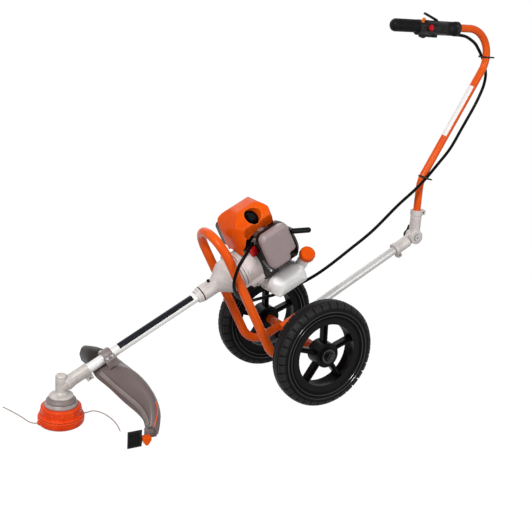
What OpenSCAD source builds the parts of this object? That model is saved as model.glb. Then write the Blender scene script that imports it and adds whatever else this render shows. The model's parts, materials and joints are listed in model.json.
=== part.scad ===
// Wheeled string trimmer: a petrol brush cutter carried on a two wheeled frame,
// with a folding push handle, a line head on the ground and a guard beside it.
// The head's axis is Z. The drive tube climbs rearwards along +X, the left side is -Y.

/* [Stance] */
// Outer diameter of the wheels
wheel_d = 300; // [280:2:320]
// Distance between the middles of the two tyres
track = 310; // [300:2:340]
// Distance along the ground from the head's axis to the axle
axle_x = 677; // [670:1:690]
// Climb of the drive tube, in degrees
tube_slope = 28; // [27.5:0.25:28.5]
// Height at which the drive tube's axis meets the head's axis
gear_h = 100; // [98:0.5:102]

/* [Fits] */
// Clearance between pieces that are fixed to each other
fit = 0.2; // [0.1:0.05:0.3]
// Radial clearance of a shaft that turns in its seat
run = 0.06; // [0.03:0.01:0.1]
// Clearance between pieces that pass each other
pass = 0.6; // [0.5:0.1:1]

/* [Line head] */
// Diameter of the lower cover of the head
cover_d = 116; // [110:1:122]
// Height of the lower cover
cover_h = 24; // [22:0.5:26]
// Diameter of the flat that the head rests on
rest_d = 84; // [76:1:90]
// Diameter of the upper drum of the head
drum_d = 101; // [96:1:104]
// Height of the top of the upper drum
drum_top = 52; // [50:0.5:53]
// Wall of the drum and the cover
head_wall = 3; // [2.5:0.1:3.5]
// Height of the line eyelets
eyelet_h = 14; // [12:0.5:15]
// Diameter of the trimmer line
line_d = 2.7; // [2:0.1:3]
// Diameter of the dark flange over the head
flange_d = 83; // [78:1:88]
// Thickness of the dark flange
flange_t = 10; // [8:0.5:10]

/* [Gear case] */
// Diameter of the gear case's upright barrel
case_d = 29; // [28:0.5:32]
// Height of the top of the barrel
case_top = 133; // [132:0.5:138]
// Height of the top of the dome below the barrel
dome_top = 84; // [80:0.5:88]
// Diameter of the neck that holds the drive tube
neck_d = 33; // [32.5:0.5:36]
// Length of the neck from the gear's centre
neck_len = 80; // [72:1:86]
// Teeth of the pinion on the drive shaft
pinion_teeth = 14; // [14:1:14]
// Teeth of the gear on the spindle
gear_teeth = 19; // [19:1:19]
// Pitch radius of the gear on the spindle
gear_r = 10.5; // [10.2:0.1:10.6]
// Diameter of the output spindle
spindle_d = 8; // [7:0.5:9]

/* [Guard] */
// Wall of the guard's shell
guard_wall = 3; // [2.5:0.25:4]
// Wall of the guard's front rim
rim_wall = 6; // [5:0.25:7]
// Width of the guard's clamp across the tube
clamp_w = 64; // [60:1:70]
// Length of the guard's clamp along the tube
clamp_len = 30; // [26:1:34]
// Distance of the clamp from the gear's centre
clamp_s = 122; // [118:1:126]
// Thickness of the clamp below the tube
clamp_t = 5; // [4.5:0.25:5.25]
// Width of the line cutter's flap
flap_w = 36; // [30:1:40]
// Height of the line cutter's flap
flap_h = 43; // [38:1:46]

/* [Drive tube] */
// Outer diameter of the drive tube
tube_d = 26; // [25:0.5:28]
// Wall of the drive tube
tube_wall = 1.5; // [1.2:0.1:2]
// Diameter of the drive shaft
shaft_d = 8; // [7:0.5:8]
// Distance of the tube's upper end from the gear's centre
tube_end = 462; // [455:1:465]

/* [Clutch] */
// Start of the clutch housing's nose
nose_s = 414; // [410:1:418]
// Start of the clutch housing's cone
cone_s = 474; // [472:1:476]
// End of the cone
barrel_s = 510; // [508:1:511]
// Joint face between the clutch housing and the engine
face_s = 548; // [546:1:552]
// Diameter of the nose
nose_d = 44; // [42:0.5:48]
// Diameter of the clutch housing's barrel
barrel_d = 94; // [90:1:98]
// Diameter of the flange at the engine
clutch_flange_d = 104; // [102:1:108]
// Wall of the clutch housing
clutch_wall = 4; // [3.5:0.25:5]
// Outer diameter of the clutch drum
drum_clutch_d = 76; // [72:1:80]

/* [Engine] */
// Distance of the cylinder's axis from the gear's centre
cylinder_s = 614; // [612:1:616]
// Cylinder bore
bore_d = 40; // [38:0.5:42]
// Side of the square cooling fins
fin_w = 78; // [74:1:82]
// Number of cooling fins
fin_count = 8; // [6:1:9]
// Diameter of the crankcase barrel
crankcase_d = 100; // [96:1:102]
// End of the crankcase
crankcase_end = 658; // [656:1:662]
// Height of the crankcase deck above the crank axis
deck_h = 52; // [50:0.5:54]
// Height of the cylinder above the deck
cylinder_h = 60; // [58:0.5:64]
// Crank throw
throw_r = 15; // [14:0.5:16]
// Length of the connecting rod between its eyes
rod_len = 62; // [60:0.5:64]
// Diameter of the crankshaft's journals
journal_d = 15; // [14:0.5:16]
// Diameter of the flywheel
flywheel_d = 100; // [96:1:102]

/* [Shroud] */
// Front of the orange shroud
shroud_s0 = 561; // [559:0.5:563]
// Rear of the orange shroud
shroud_s1 = 682; // [680:1:686]
// Half width of the shroud
shroud_half = 60; // [59:0.5:62]
// Top of the shroud above the crank axis
shroud_top = 156; // [152:1:161]
// Underside of the shroud above the crank axis
shroud_bottom = 30; // [28:1:34]
// Radius of the shroud's long upper edges
shroud_r = 46; // [42:1:50]
// Wall of the shroud
shroud_wall = 2.5; // [2:0.25:3]
// Radius of the shroud's corners, from above
shroud_corner = 36; // [30:1:40]

/* [Air filter] */
// Length of the filter cover along the crank axis
filter_len = 86; // [82:1:90]
// Height of the filter cover
filter_h = 104; // [98:1:108]
// Depth of the filter cover
filter_depth = 34; // [32:0.5:36]
// Middle of the filter cover along the crank axis
filter_s = 647; // [645:1:649]
// Middle of the filter cover above the crank axis
filter_n = 46; // [44:1:48]
// Left face of the engine behind the filter cover
filter_y = -72; // [-74:0.5:-70]

/* [Fuel tank] */
// Front of the fuel tank
tank_s0 = 600; // [598:1:603]
// Length of the fuel tank
tank_len = 114; // [110:1:118]
// Height of the fuel tank
tank_h = 66; // [64:1:70]
// Width of the fuel tank
tank_w = 112; // [108:1:116]
// Radius of the tank's edges
tank_r = 31; // [27:1:31.5]
// Wall of the fuel tank
tank_wall = 2.5; // [2:0.25:3]
// Diameter of the fuel cap
cap_d = 41; // [39:0.5:43]
// Height of the fuel cap
cap_h = 20; // [18:0.5:22]

/* [Starter] */
// Diameter of the starter cover
starter_d = 114; // [112:1:118]
// Length of the starter cover
starter_len = 64; // [62:1:68]
// Radius at which the rope winds
pulley_r = 44; // [42:0.5:46]
// Rise of the rope where it leaves, in degrees
rope_rise = 7; // [5:1:9]
// Diameter of the starter rope
rope_d = 3.5; // [3:0.1:4]
// Length of the starter handle
pull_len = 48; // [44:1:52]

/* [Frame] */
// Diameter of the frame's tube
frame_d = 25; // [24:0.5:26]
// Wall of the frame's tube
frame_wall = 2; // [1.5:0.25:2.5]
// Place of the frame's loop along the drive tube
loop_s = 515; // [512:1:518]
// Distance of each leg from the middle
leg_y = 70; // [69:0.5:72]
// Height of the loop's top above the drive tube's axis
loop_top = 142; // [138:1:146]
// Radius of the bend at the foot of each leg
foot_r = 60; // [56:1:64]
// Diameter of the sleeve round the axle
sleeve_d = 26; // [25:0.5:28]
// Diameter of the axle
axle_d = 14; // [12:0.5:15]

/* [Wheels] */
// Width of the tyre
tyre_w = 54; // [50:1:56]
// Diameter of the opening inside the rim
rim_open_d = 176; // [170:1:182]
// Height of the rim's band under the tyre
rim_band = 14; // [11:0.5:16]
// Width of the rim
rim_w = 42; // [38:1:44]
// Diameter of the hub
hub_d = 70; // [64:1:74]
// Length of the hub
hub_len = 60; // [56:1:62]
// Width of a spoke
spoke_w = 14; // [12:0.5:16]
// Number of spokes
spoke_count = 5; // [5:1:6]
// Number of tread lugs round the tyre
lug_count = 36; // [30:2:40]

/* [Handle] */
// Outer diameter of the rear tube
rear_d = 24; // [23:0.5:25]
// Wall of the rear tube
rear_wall = 2; // [1.5:0.25:2.5]
// Height of the rear tube's axis above the axle, square to the tube
rear_lift = 33; // [31:0.5:35]
// Distance of the folding joint from the gear's centre, along the tube
pivot_s = 1100; // [1095:1:1105]
// Diameter of the folding joint's discs
joint_d = 42; // [38:0.5:44]
// Thickness of each disc
joint_t = 16; // [15:0.5:17]
// Diameter of the joint's bolt
bolt_d = 10; // [8:0.5:11]
// Outer diameter of the handlebar
bar_d = 22; // [21:0.5:23]
// Wall of the handlebar
bar_wall = 1.8; // [1.5:0.1:2.2]
// Start of the handlebar above the pivot
bar_start = 46; // [44:1:48]
// Upright length of the handlebar
bar_rise = 100; // [96:1:104]
// Rearward lean of the handlebar, in degrees
bar_lean = 30; // [29:0.5:31]
// Length of the leaning part
bar_len = 346; // [342:1:350]
// Radius of the lower bend
bend_low_r = 90; // [84:1:96]
// Radius of the upper bend
bend_top_r = 78; // [74:1:82]
// Length of the level part under the grip
bar_level = 276; // [272:1:280]

/* [Grip] */
// Length of the ribbed front grip
grip_len = 90; // [84:1:94]
// Diameter of the ribbed front grip
grip_d = 35; // [33:0.5:36]
// Length of the control housing
control_len = 70; // [68:1:74]
// Length of the rear sleeve of the grip
sleeve_len = 77; // [74:1:80]
// Width of the grip housing
housing_w = 36; // [34:0.5:38]
// Extra height of the grip housing below its axis
housing_drop = 6; // [5:0.5:7]

/* [Throttle cable] */
// Diameter of the cable's conduit
cable_d = 9; // [7:0.5:9]

/* [Hidden] */
$fn = 48;
orange = [0.93, 0.33, 0.07];
black = [0.07, 0.07, 0.08];
cast = [0.76, 0.76, 0.74];
steel = [0.62, 0.63, 0.65];
bright = [0.85, 0.85, 0.86];
taupe = [0.5, 0.46, 0.44];
white = [0.93, 0.93, 0.91];
red = [0.8, 0.12, 0.1];

// Places that follow from the driving sizes, along the drive tube and square to it
axle_h = wheel_d / 2;
axle_s = axle_x * cos(tube_slope) + (axle_h - gear_h) * sin(tube_slope);
axle_n = (axle_h - gear_h) * cos(tube_slope) - axle_x * sin(tube_slope);
rear_n = axle_n + rear_lift;
pivot_x = pivot_s * cos(tube_slope) - rear_n * sin(tube_slope);
pivot_z = gear_h + pivot_s * sin(tube_slope) + rear_n * cos(tube_slope);
inner_d = tube_d - 2 * tube_wall;
flange_top = drum_top + fit + flange_t;
dome_bottom = flange_top + pass;

// Bevel gears, with both pitch cones meeting where the two axes cross
shaft_angle = 90 - tube_slope;
gear_cone = atan2(sin(shaft_angle), pinion_teeth / gear_teeth + cos(shaft_angle));
pinion_cone = shaft_angle - gear_cone;
cone_len = gear_r / sin(gear_cone);
tooth_size = 2 * gear_r / gear_teeth;
face_ratio = 0.68;
pinion_r = cone_len * sin(pinion_cone);
gear_rise = cone_len * cos(gear_cone);
pinion_s = cone_len * cos(pinion_cone);
tooth_add = 0.6;
tooth_ded = 1.05;
tooth_share = 0.34;

// Bearing seats
seat_d = 22;
low_seat_d = 26;
bearing_w = 7;
low_bearing_z = dome_bottom + 2;
top_bearing_z = gear_h + gear_rise + 4;
shaft_bearing_s = pinion_s + 9;
tube_seat_s = shaft_bearing_s + bearing_w + 2;

// Engine
crank_top = deck_h + fit;
cylinder_top = crank_top + cylinder_h;
fin_t = 2.2;
fin_zone = 50;
piston_h = 30;
pin_n = throw_r + rod_len;
flywheel_s = crankcase_end + 8;
flywheel_t = 18;
starter_s = crankcase_end + fit;
starter_end = starter_s + starter_len;
pulley_s = starter_end - 17;
pulley_t = 12;
rope_y = -sqrt(pow(starter_d / 2, 2) - pow(pulley_r, 2));
rope_exit = [pulley_s, -starter_d / 2 - 3, pulley_r + (starter_d / 2 + 3) * tan(rope_rise)];
plug_base = [cylinder_s + 4, -13, cylinder_top - 5];
plug_turn = -67;
plug_tilt = 50;
filter_open_s = filter_s - filter_len / 2 + 6;
filter_top = filter_n + filter_h / 2;
carb_s = cylinder_s + 20;
carb_n = crank_top + 18;
carb_y0 = filter_y + 2;
cable_y = carb_y0 + 13;
port_y = -fin_w / 2 - 0.5;
tank_top = -crankcase_d / 2 - 8;
tank_mid = [tank_s0 + tank_len / 2, -7, tank_top - tank_h / 2];
cap_seat = [tank_s0 + tank_len + 4, tank_mid[1] - tank_w / 2 + 9, tank_top + 2];
cap_turn = -74;
cap_tilt = 46;
neck_up = 26;

// Frame and wheels
leg_top = loop_top - leg_y;
leg_foot = axle_n + foot_r;
sleeve_half = track / 2 - hub_len / 2 - 1;
axle_half = track / 2 + hub_len / 2 + 14;
nut_t = 10;
nut_d = 22;
socket_d = rear_d + 8;
socket_len = 72;
socket_s = axle_s - 24;
ear_d = 18;
ear_bolt_d = 8;
tyre_r = wheel_d / 2;
seat_r = rim_open_d / 2 + rim_band;
spoke_turn = 20;

// Handle
bar_end_x = pivot_x + bend_low_r * (1 - cos(bar_lean)) + bar_len * sin(bar_lean) - bend_top_r * cos(bar_lean);
bar_z = pivot_z + bar_start + bar_rise + bend_low_r * sin(bar_lean) + bar_len * cos(bar_lean)
    + bend_top_r * (1 + sin(bar_lean));
ring_t = 0.15;
ring_len = 1.2;
grip_rear = bar_end_x - 47;
control_rear = grip_rear - sleeve_len;
grip_front = control_rear - control_len;
joint_clamp_d = rear_d + 11;
bar_clamp_d = bar_d + 11;
trigger_x = control_rear - 24;
lever_x = control_rear - 4;
half_top = housing_w / 2;

// Guard: front rim, crest and rear skirt, from the right end over the tube to the left end
guard_rim = [[98, 128, 124], [95, 72, 127], [94, 34, 124], [93, 0, 121], [110, -42, 108],
    [129, -95, 88], [150, -140, 69], [153, -175, 57], [147, -203, 45]];
guard_lip = [[0, 0, 19], [0, 0, 15], [0, 0, 13], [0, 0, 13], [0, 0, 13], [0, 0, 12], [0, 0, 11], [0, 0, 9], [0, 0, 6]];
guard_crest = [[110, 132, 142], [120, 72, 156], [126, 34, 137.6], [132, 0, 139.2], [148, -55, 145],
    [160, -102, 134], [170, -150, 110], [166, -184, 82], [157, -205, 54]];
guard_skirt = [[152, 150, 108], [176, 86, 116], [182, 40, 116], [186, 2, 116], [192, -60, 110],
    [200, -114, 92], [193, -166, 70], [178, -198, 50], [167, -214, 36]];
guard_steps = 3;
guard_across = 8;
flap_low = 14;

// Free ends of the two trimmer lines
line_front = [[-60, -4, 14], [-70, -1, 14], [-79, 12, 14], [-85, 34, 14],
    [-93, 60, 14], [-103, 88, 14], [-114, 115, 14]];
line_rear = [[60, 4.2, 14], [71, 5, 14.5], [85, 2, 17], [97, -12, 18], [106, -38, 19],
    [111, -70, 19], [111, -100, 18], [107, -128, 17]];

// Route of the throttle cable from the grip to the carburettor
cable_route = [[1148, 0, 992.5], [1168, 0, 992], [1195, 1, 988], [1233, 6, 972], [1258, 13, 954], [1276, 18, 938], [1287, 17, 922],
    [1295, 14, 902], [1296, 9, 880], [1290, 4, 858], [1279, 0, 834], [1259, 0, 791], [1221, 0, 726], [1180, -6, 668],
    [1132, -14, 624], [1086, -19, 582], [1048, -20, 550], [991, -20, 507], [912, -20, 440], [839, -18, 390],
    [772, -8, 340], [727, 8, 306], [679, 28, 277], [634, 38, 259], [580, 30, 256], [524, 0, 264], [484, -30, 285],
    [454, -54, 310], [434, -76, 338], [426, -91, 365], [429, -97, 390], [436, -98, 408], [446, -97, 422],
    [455.5, -92, 430.5], [466.5, -83, 437.5], [478.5, -71, 443.5], [489.8, -63.7, 448.9]];
cable_rings = 78;

// Frame of the drive tube: X climbs along the tube, Z is square to it
module along_tube() {
    translate([0, 0, gear_h]) rotate([0, -tube_slope, 0]) children();
}

// Frame of the folding joint's pivot
module at_pivot() {
    translate([pivot_x, 0, pivot_z]) children();
}

// Frame whose Z points out along a direction given by its turn and its tilt from Z
module aimed(place, turn, tilt) {
    translate(place) rotate([0, tilt, turn]) children();
}

module x_rod(d, from, to) {
    translate([from, 0, 0]) rotate([0, 90, 0]) cylinder(d = d, h = to - from);
}

module y_rod(d, from, to) {
    translate([0, from, 0]) rotate([-90, 0, 0]) cylinder(d = d, h = to - from);
}

module x_cone(d1, d2, from, to) {
    translate([from, 0, 0]) rotate([0, 90, 0]) cylinder(d1 = d1, d2 = d2, h = to - from);
}

module x_ring(d_out, d_in, from, to) {
    difference() {
        x_rod(d_out, from, to);
        x_rod(d_in, from - 1, to + 1);
    }
}

module z_ring(d_out, d_in, from, to) {
    translate([0, 0, from]) difference() {
        cylinder(d = d_out, h = to - from);
        translate([0, 0, -1]) cylinder(d = d_in, h = to - from + 2);
    }
}

// Box given by its two opposite corners
module span(low, high) {
    translate(low) cube(high - low);
}

module round_rect(w, h, r) {
    square([w - 2 * r, h], center = true);
    square([w, h - 2 * r], center = true);
    for (x = [-1, 1], y = [-1, 1])
        translate([x * (w / 2 - r), y * (h / 2 - r)]) circle(r = r);
}

// Slab with rounded corners in the XZ plane, from one Y to another
module y_slab(w, h, r, from, to) {
    translate([0, to, 0]) rotate([90, 0, 0]) linear_extrude(height = to - from) round_rect(w, h, r);
}

// Slab with rounded corners in the YZ plane, from one X to another
module x_slab(w, h, r, from, to) {
    translate([from, 0, 0]) rotate([90, 0, 90]) linear_extrude(height = to - from) round_rect(w, h, r);
}

// Hexagon nut or bolt head along Y
module y_hex(across, from, to) {
    translate([0, from, 0]) rotate([-90, 0, 0]) cylinder(d = across / cos(30), h = to - from, $fn = 6);
}

// Section of a rod, or of a tube where a bore is given
module ring_section(d, bore) {
    difference() {
        circle(d = d);
        if (bore > 0) circle(d = bore);
    }
}

module bend_ring(d, bore) {
    translate([-ring_len / 2, 0, 0]) rotate([0, 90, 0]) linear_extrude(height = ring_len)
        ring_section(d + 2 * ring_t, max(0, bore - 2 * ring_t));
}

// Rod or tube that bends in the XZ plane: each step is [straight length, bend radius, bend angle]
module bent_rod(d, bore, steps, i = 0) {
    if (i < len(steps)) {
        run_len = steps[i][0];
        r = steps[i][1];
        a = steps[i][2];
        side = a < 0 ? -1 : 1;
        rotate([0, 90, 0]) linear_extrude(height = run_len) ring_section(d, bore);
        translate([run_len, 0, 0]) {
            // A shallow ring at each end of a bend ties it to the straight
            if (a != 0) bend_ring(d, bore);
            if (a != 0)
                translate([0, 0, side * r]) rotate([90, 0, 0]) rotate([0, 0, a < 0 ? 90 - abs(a) : -90])
                    rotate_extrude(angle = abs(a)) translate([r, 0]) ring_section(d, bore);
            translate([r * sin(abs(a)), 0, side * r * (1 - cos(a))]) rotate([0, -a, 0]) {
                if (a != 0) bend_ring(d, bore);
                bent_rod(d, bore, steps, i + 1);
            }
        }
    }
}

// Smooth curve through a list of points, at a place counted in points
function at(list, i) = list[max(0, min(len(list) - 1, i))];
function spline(list, u) =
    let (i = min(floor(u), len(list) - 2), t = u - i,
        p0 = at(list, i - 1), p1 = at(list, i), p2 = at(list, i + 1), p3 = at(list, i + 2))
    0.5 * (2 * p1 + (p2 - p0) * t + (2 * p0 - 5 * p1 + 4 * p2 - p3) * t * t
        + (3 * p1 - p0 - 3 * p2 + p3) * t * t * t);
function unit(v) = v / norm(v);

// Round cord swept along a route, as one closed tube
module cord(route, d, rings, sides) {
    last = len(route) - 1;
    centres = [for (k = [0 : rings]) spline(route, last * k / rings)];
    points = [for (k = [0 : rings])
        let (ahead = unit(at(centres, k + 1) - at(centres, k - 1)),
            across = unit(cross(ahead, [0.1, 1, 0.2])), over = cross(across, ahead))
        for (j = [0 : sides - 1])
            centres[k] + d / 2 * (cos(360 * j / sides) * across + sin(360 * j / sides) * over)];
    walls = [for (k = [0 : rings - 1], j = [0 : sides - 1], half = [0, 1])
        let (a = k * sides + j, b = k * sides + (j + 1) % sides)
        half == 0 ? [a, b, a + sides] : [b, b + sides, a + sides]];
    start = [for (j = [1 : sides - 2]) [0, j + 1, j]];
    end_ring = rings * sides;
    finish = [for (j = [1 : sides - 2]) [end_ring, end_ring + j, end_ring + j + 1]];
    polyhedron(points = points, faces = concat(walls, start, finish));
}

// Flat outline of a gear with straight sided teeth
module gear_outline(teeth, pitch_r) {
    pitch = 2 * PI * pitch_r / teeth;
    root = pitch_r - tooth_ded * tooth_size;
    tip = pitch_r + tooth_add * tooth_size;
    circle(r = root);
    for (i = [0 : teeth - 1]) rotate(360 * i / teeth)
        polygon([[root - 1, -pitch * 0.3], [pitch_r, -pitch * tooth_share / 2], [tip, -pitch * 0.1],
            [tip, pitch * 0.1], [pitch_r, pitch * tooth_share / 2], [root - 1, pitch * 0.3]]);
}

// Gear case: barrel, dome and neck cast in one
module gear_case() {
    color(cast) difference() {
        union() {
            rotate_extrude() polygon([[0, dome_bottom], [flange_d / 2 - 4, dome_bottom],
                [flange_d / 2 - 4, dome_bottom + 4], [flange_d / 2 - 9, dome_bottom + 8],
                [flange_d / 2 - 12, dome_top - 4], [case_d / 2 + 3, dome_top],
                [case_d / 2, dome_top + 5], [0, dome_top + 5]]);
            translate([0, 0, dome_top]) cylinder(d = case_d, h = case_top - 10 - dome_top);
            translate([0, 0, case_top - 11]) cylinder(d = case_d - 1.6, h = 3);
            translate([0, 0, case_top - 8]) cylinder(d = case_d, h = 5);
            translate([0, 0, case_top - 3]) cylinder(d1 = case_d, d2 = case_d - 5, h = 3);
            along_tube() x_rod(neck_d, 0, neck_len);
            along_tube() x_cone(neck_d + 6, neck_d, 14, 34);
            along_tube() span([neck_len - 18, -11, -neck_d / 2 - 9], [neck_len, 11, 0]);
        }
        translate([0, 0, dome_bottom - 1]) cylinder(d = low_seat_d + 2 * fit, h = bearing_w + 4);
        translate([0, 0, dome_bottom]) cylinder(d = spindle_d + 6, h = gear_h - dome_bottom);
        translate([0, 0, gear_h - 3])
            cylinder(d = 2 * gear_r + 2 * tooth_add * tooth_size + 1.4, h = top_bearing_z - gear_h + 3);
        translate([0, 0, top_bearing_z]) cylinder(d = seat_d + 2 * fit, h = bearing_w + fit);
        along_tube() x_rod(2 * pinion_r + 6, 0, shaft_bearing_s + 1);
        along_tube() x_rod(seat_d + 2 * fit, shaft_bearing_s - fit, tube_seat_s + 1);
        along_tube() x_rod(tube_d + 2 * fit, tube_seat_s, neck_len + 1);
        along_tube() span([neck_len - 30, -0.8, -neck_d], [neck_len + 1, 0.8, 0]);
        along_tube() translate([neck_len - 9, 0, -neck_d / 2 - 4]) y_rod(5.4, -20, 20);
    }
}

// Ball bearings of the gear case and the bushes that carry the shaft in the tube
module bearings() {
    color(steel) {
        z_ring(low_seat_d, spindle_d + 2 * run, low_bearing_z, low_bearing_z + bearing_w);
        z_ring(seat_d, spindle_d + 2 * run, top_bearing_z + fit / 2, top_bearing_z + bearing_w);
        along_tube() {
            x_ring(seat_d, shaft_d + 2 * run, shaft_bearing_s, shaft_bearing_s + bearing_w);
            for (part = [1, 2, 3])
                x_ring(inner_d - 2 * fit, shaft_d + 2 * run, tube_end * part / 4 - 12, tube_end * part / 4 + 12);
            x_ring(nose_d - 2 * clutch_wall - 2 * fit, shaft_d + 2 * run, tube_end + 4, tube_end + 16);
        }
    }
}

module bevel_gear() {
    color(steel) difference() {
        union() {
            translate([0, 0, gear_h + gear_rise]) mirror([0, 0, 1])
                linear_extrude(height = gear_rise * (1 - face_ratio), scale = face_ratio)
                    rotate(180 / gear_teeth) gear_outline(gear_teeth, gear_r);
            translate([0, 0, gear_h + gear_rise]) cylinder(r = gear_r - 1.5, h = 3.4);
        }
        cylinder(d = spindle_d + 2 * run, h = 2 * gear_h);
    }
}

module output_spindle() {
    color(steel) {
        translate([0, 0, drum_top - 14]) cylinder(d = spindle_d, h = top_bearing_z + bearing_w - drum_top + 13);
    }
}

module bevel_pinion() {
    color(steel) along_tube() difference() {
        union() {
            translate([pinion_s, 0, 0]) rotate([0, -90, 0])
                linear_extrude(height = pinion_s * (1 - face_ratio), scale = face_ratio)
                    gear_outline(pinion_teeth, pinion_r);
            x_rod(2 * pinion_r - 2.5, pinion_s, shaft_bearing_s - 0.5);
        }
        x_rod(shaft_d + 2 * run, 0, 2 * shaft_bearing_s);
    }
}

module drive_shaft() {
    color(steel) along_tube() x_rod(shaft_d, pinion_s * face_ratio, face_s - 28);
}

// Dark dust flange that turns with the head
module head_flange() {
    low = drum_top + fit;
    color(taupe) difference() {
        rotate_extrude() polygon([[0, low], [flange_d / 2, low], [flange_d / 2, low + 5],
            [flange_d / 2 - 3, flange_top - 3], [flange_d / 2 - 5, flange_top], [0, flange_top]]);
        translate([0, 0, low - 1]) cylinder(d = spindle_d + 2 * run, h = flange_t + 2);
    }
}

// Upper drum of the head
module head_housing() {
    low = cover_h + fit;
    inside = drum_d / 2 - head_wall;
    color(orange) difference() {
        union() {
            rotate_extrude() polygon([[0, low], [cover_d / 2 - 2, low], [cover_d / 2 - 2, low + 4],
                [drum_d / 2, low + 4], [drum_d / 2, drum_top - 3], [drum_d / 2 - 3, drum_top], [0, drum_top]]);
            for (i = [0 : 11]) rotate(30 * i + 15) translate([drum_d / 2 - 2, 0, low + 1]) cylinder(d = 7, h = 17);
        }
        translate([0, 0, low - 1]) cylinder(r = inside, h = drum_top - head_wall - 1 - low + 1);
        translate([0, 0, low]) cylinder(d = spindle_d + 2 * run, h = drum_top);
    }
}

// Lower cover of the head, with the flat that it rests on and two eyelets
module head_cover() {
    outer = cover_d / 2;
    color(orange) difference() {
        union() {
            rotate_extrude() polygon([[0, 0], [rest_d / 2, 0], [outer - 8, 1.6], [outer - 3, 5],
                [outer - 0.6, 9], [outer, 14], [outer, cover_h], [0, cover_h]]);
            for (turn = [4, 184]) rotate(turn) translate([0, 0, eyelet_h]) {
                x_rod(13, outer - 4, outer + 2);
                x_rod(9, outer, outer + 4);
            }
        }
        translate([0, 0, head_wall]) cylinder(d1 = rest_d, d2 = cover_d - 2 * head_wall, h = 8);
        translate([0, 0, head_wall + 7.9]) cylinder(d = cover_d - 2 * head_wall, h = cover_h);
        for (turn = [4, 184]) rotate(turn) translate([0, 0, eyelet_h]) x_rod(line_d + 0.6, outer - 12, outer + 9);
    }
}

// Spool with the stored line, plain inside the closed head
module line_spool() {
    low = head_wall + fit;
    top = drum_top - head_wall - 1 - fit;
    color(black) difference() {
        union() {
            translate([0, 0, low]) cylinder(d = rest_d - 4, h = 3);
            translate([0, 0, low]) cylinder(d = 52, h = top - low);
            translate([0, 0, low + 3]) cylinder(d = rest_d - 12, h = 24);
            translate([0, 0, low + 27]) cylinder(d = rest_d - 4, h = 3);
        }
        translate([0, 0, low - 1]) cylinder(d = spindle_d + 2 * run, h = drum_top);
    }
}

module trimmer_line_front() {
    color(white) cord(line_front, line_d, 22, 8);
}

module trimmer_line_rear() {
    color(white) cord(line_rear, line_d, 26, 8);
}

function guard_point(u, v) =
    let (a = spline(guard_rim, u), b = spline(guard_crest, u), c = spline(guard_skirt, u),
        q = 2 * b - (a + c) / 2)
    (1 - v) * (1 - v) * a + 2 * v * (1 - v) * q + v * v * c;
function guard_normal(u, v) =
    let (e = 0.02, du = guard_point(u + e, v) - guard_point(u - e, v),
        dv = guard_point(u, v + e) - guard_point(u, v - e))
    unit(cross(dv, du));
function lip_point(u) = spline(guard_rim, u) - spline(guard_lip, u);
function lip_inward(u) = let (d = spline(guard_skirt, u) - spline(guard_rim, u)) unit([d[0], d[1], 0]);
function guard_thick(v) = guard_wall + (rim_wall - guard_wall) * pow(1 - v, 6);

// Guard: a hooded shell lofted from its front rim over its crest to its rear skirt
module guard() {
    spans = (len(guard_rim) - 1) * guard_steps;
    row = guard_across + 2;
    skin = (spans + 1) * row;
    grid = [for (i = [0 : spans], j = [-1 : guard_across]) [min(max(i / guard_steps, 0.03), len(guard_rim) - 1.03),
        j / guard_across]];
    outer = [for (g = grid) g[1] < 0 ? lip_point(g[0]) : guard_point(g[0], g[1])];
    inner = [for (g = grid) g[1] < 0 ? lip_point(g[0]) + guard_wall * lip_inward(g[0])
        : guard_point(g[0], g[1]) - guard_thick(g[1]) * guard_normal(g[0], g[1])];
    quads = [for (i = [0 : spans - 1], j = [0 : guard_across])
        let (k = i * row + j) [k, k + 1, k + row + 1, k + row]];
    ends = [for (j = [0 : guard_across]) each [
        [j, skin + j, skin + j + 1, j + 1],
        [spans * row + j + 1, skin + spans * row + j + 1, skin + spans * row + j, spans * row + j]]];
    edges = [for (i = [0 : spans - 1]) each let (k = i * row, m = k + row - 1) [
        [k + row, skin + k + row, skin + k, k],
        [m, skin + m, skin + m + row, m + row]]];
    all_quads = concat(quads, [for (q = quads) [skin + q[3], skin + q[2], skin + q[1], skin + q[0]]], ends, edges);
    tris = [for (q = all_quads) each [[q[0], q[2], q[1]], [q[0], q[3], q[2]]]];
    tip = guard_rim[len(guard_rim) - 1];
    color(taupe) {
        polyhedron(points = concat(outer, inner), faces = tris);
        translate(tip) span([-5, -3 + fit, -18], [23, 10, 4]);
    }
}

// Two halves of the clamp that holds the guard on the drive tube
module guard_bracket() {
    half = tube_d / 2 + fit;
    color(taupe) along_tube() translate([clamp_s, 0, 0]) {
        difference() {
            union() {
                x_slab(clamp_w, 10, 3, 0, clamp_len);
                x_rod(tube_d + 12, 2, clamp_len - 2);
            }
            x_rod(2 * half, -1, clamp_len + 1);
            span([-1, -clamp_w, -tube_d], [clamp_len + 1, clamp_w, 0.5]);
            for (x = [8, clamp_len - 8], y = [-1, 1]) translate([x, y * (clamp_w / 2 - 8), -20]) cylinder(d = 5.4, h = 40);
        }
        difference() {
            span([0, -clamp_w / 2, -half - clamp_t], [clamp_len, clamp_w / 2, -0.5]);
            x_rod(2 * half, -1, clamp_len + 1);
            for (x = [8, clamp_len - 8], y = [-1, 1]) translate([x, y * (clamp_w / 2 - 8), -40]) cylinder(d = 5.4, h = 60);
        }
    }
}

// Orange shoe on the left end of the guard
module guard_end_cap() {
    tip = guard_rim[len(guard_rim) - 1];
    top = tip[2] - rim_wall - 1;
    color(orange) translate([tip[0] - 9, tip[1] - 12, 0]) {
        translate([0, -9, 0]) rotate([-90, 0, 0]) linear_extrude(height = 18)
            polygon([[-11, -top], [11, -top], [11, 8 - top], [3, -flap_low - 4], [-4, -flap_low - 4], [-11, 8 - top]]);
    }
}

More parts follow.
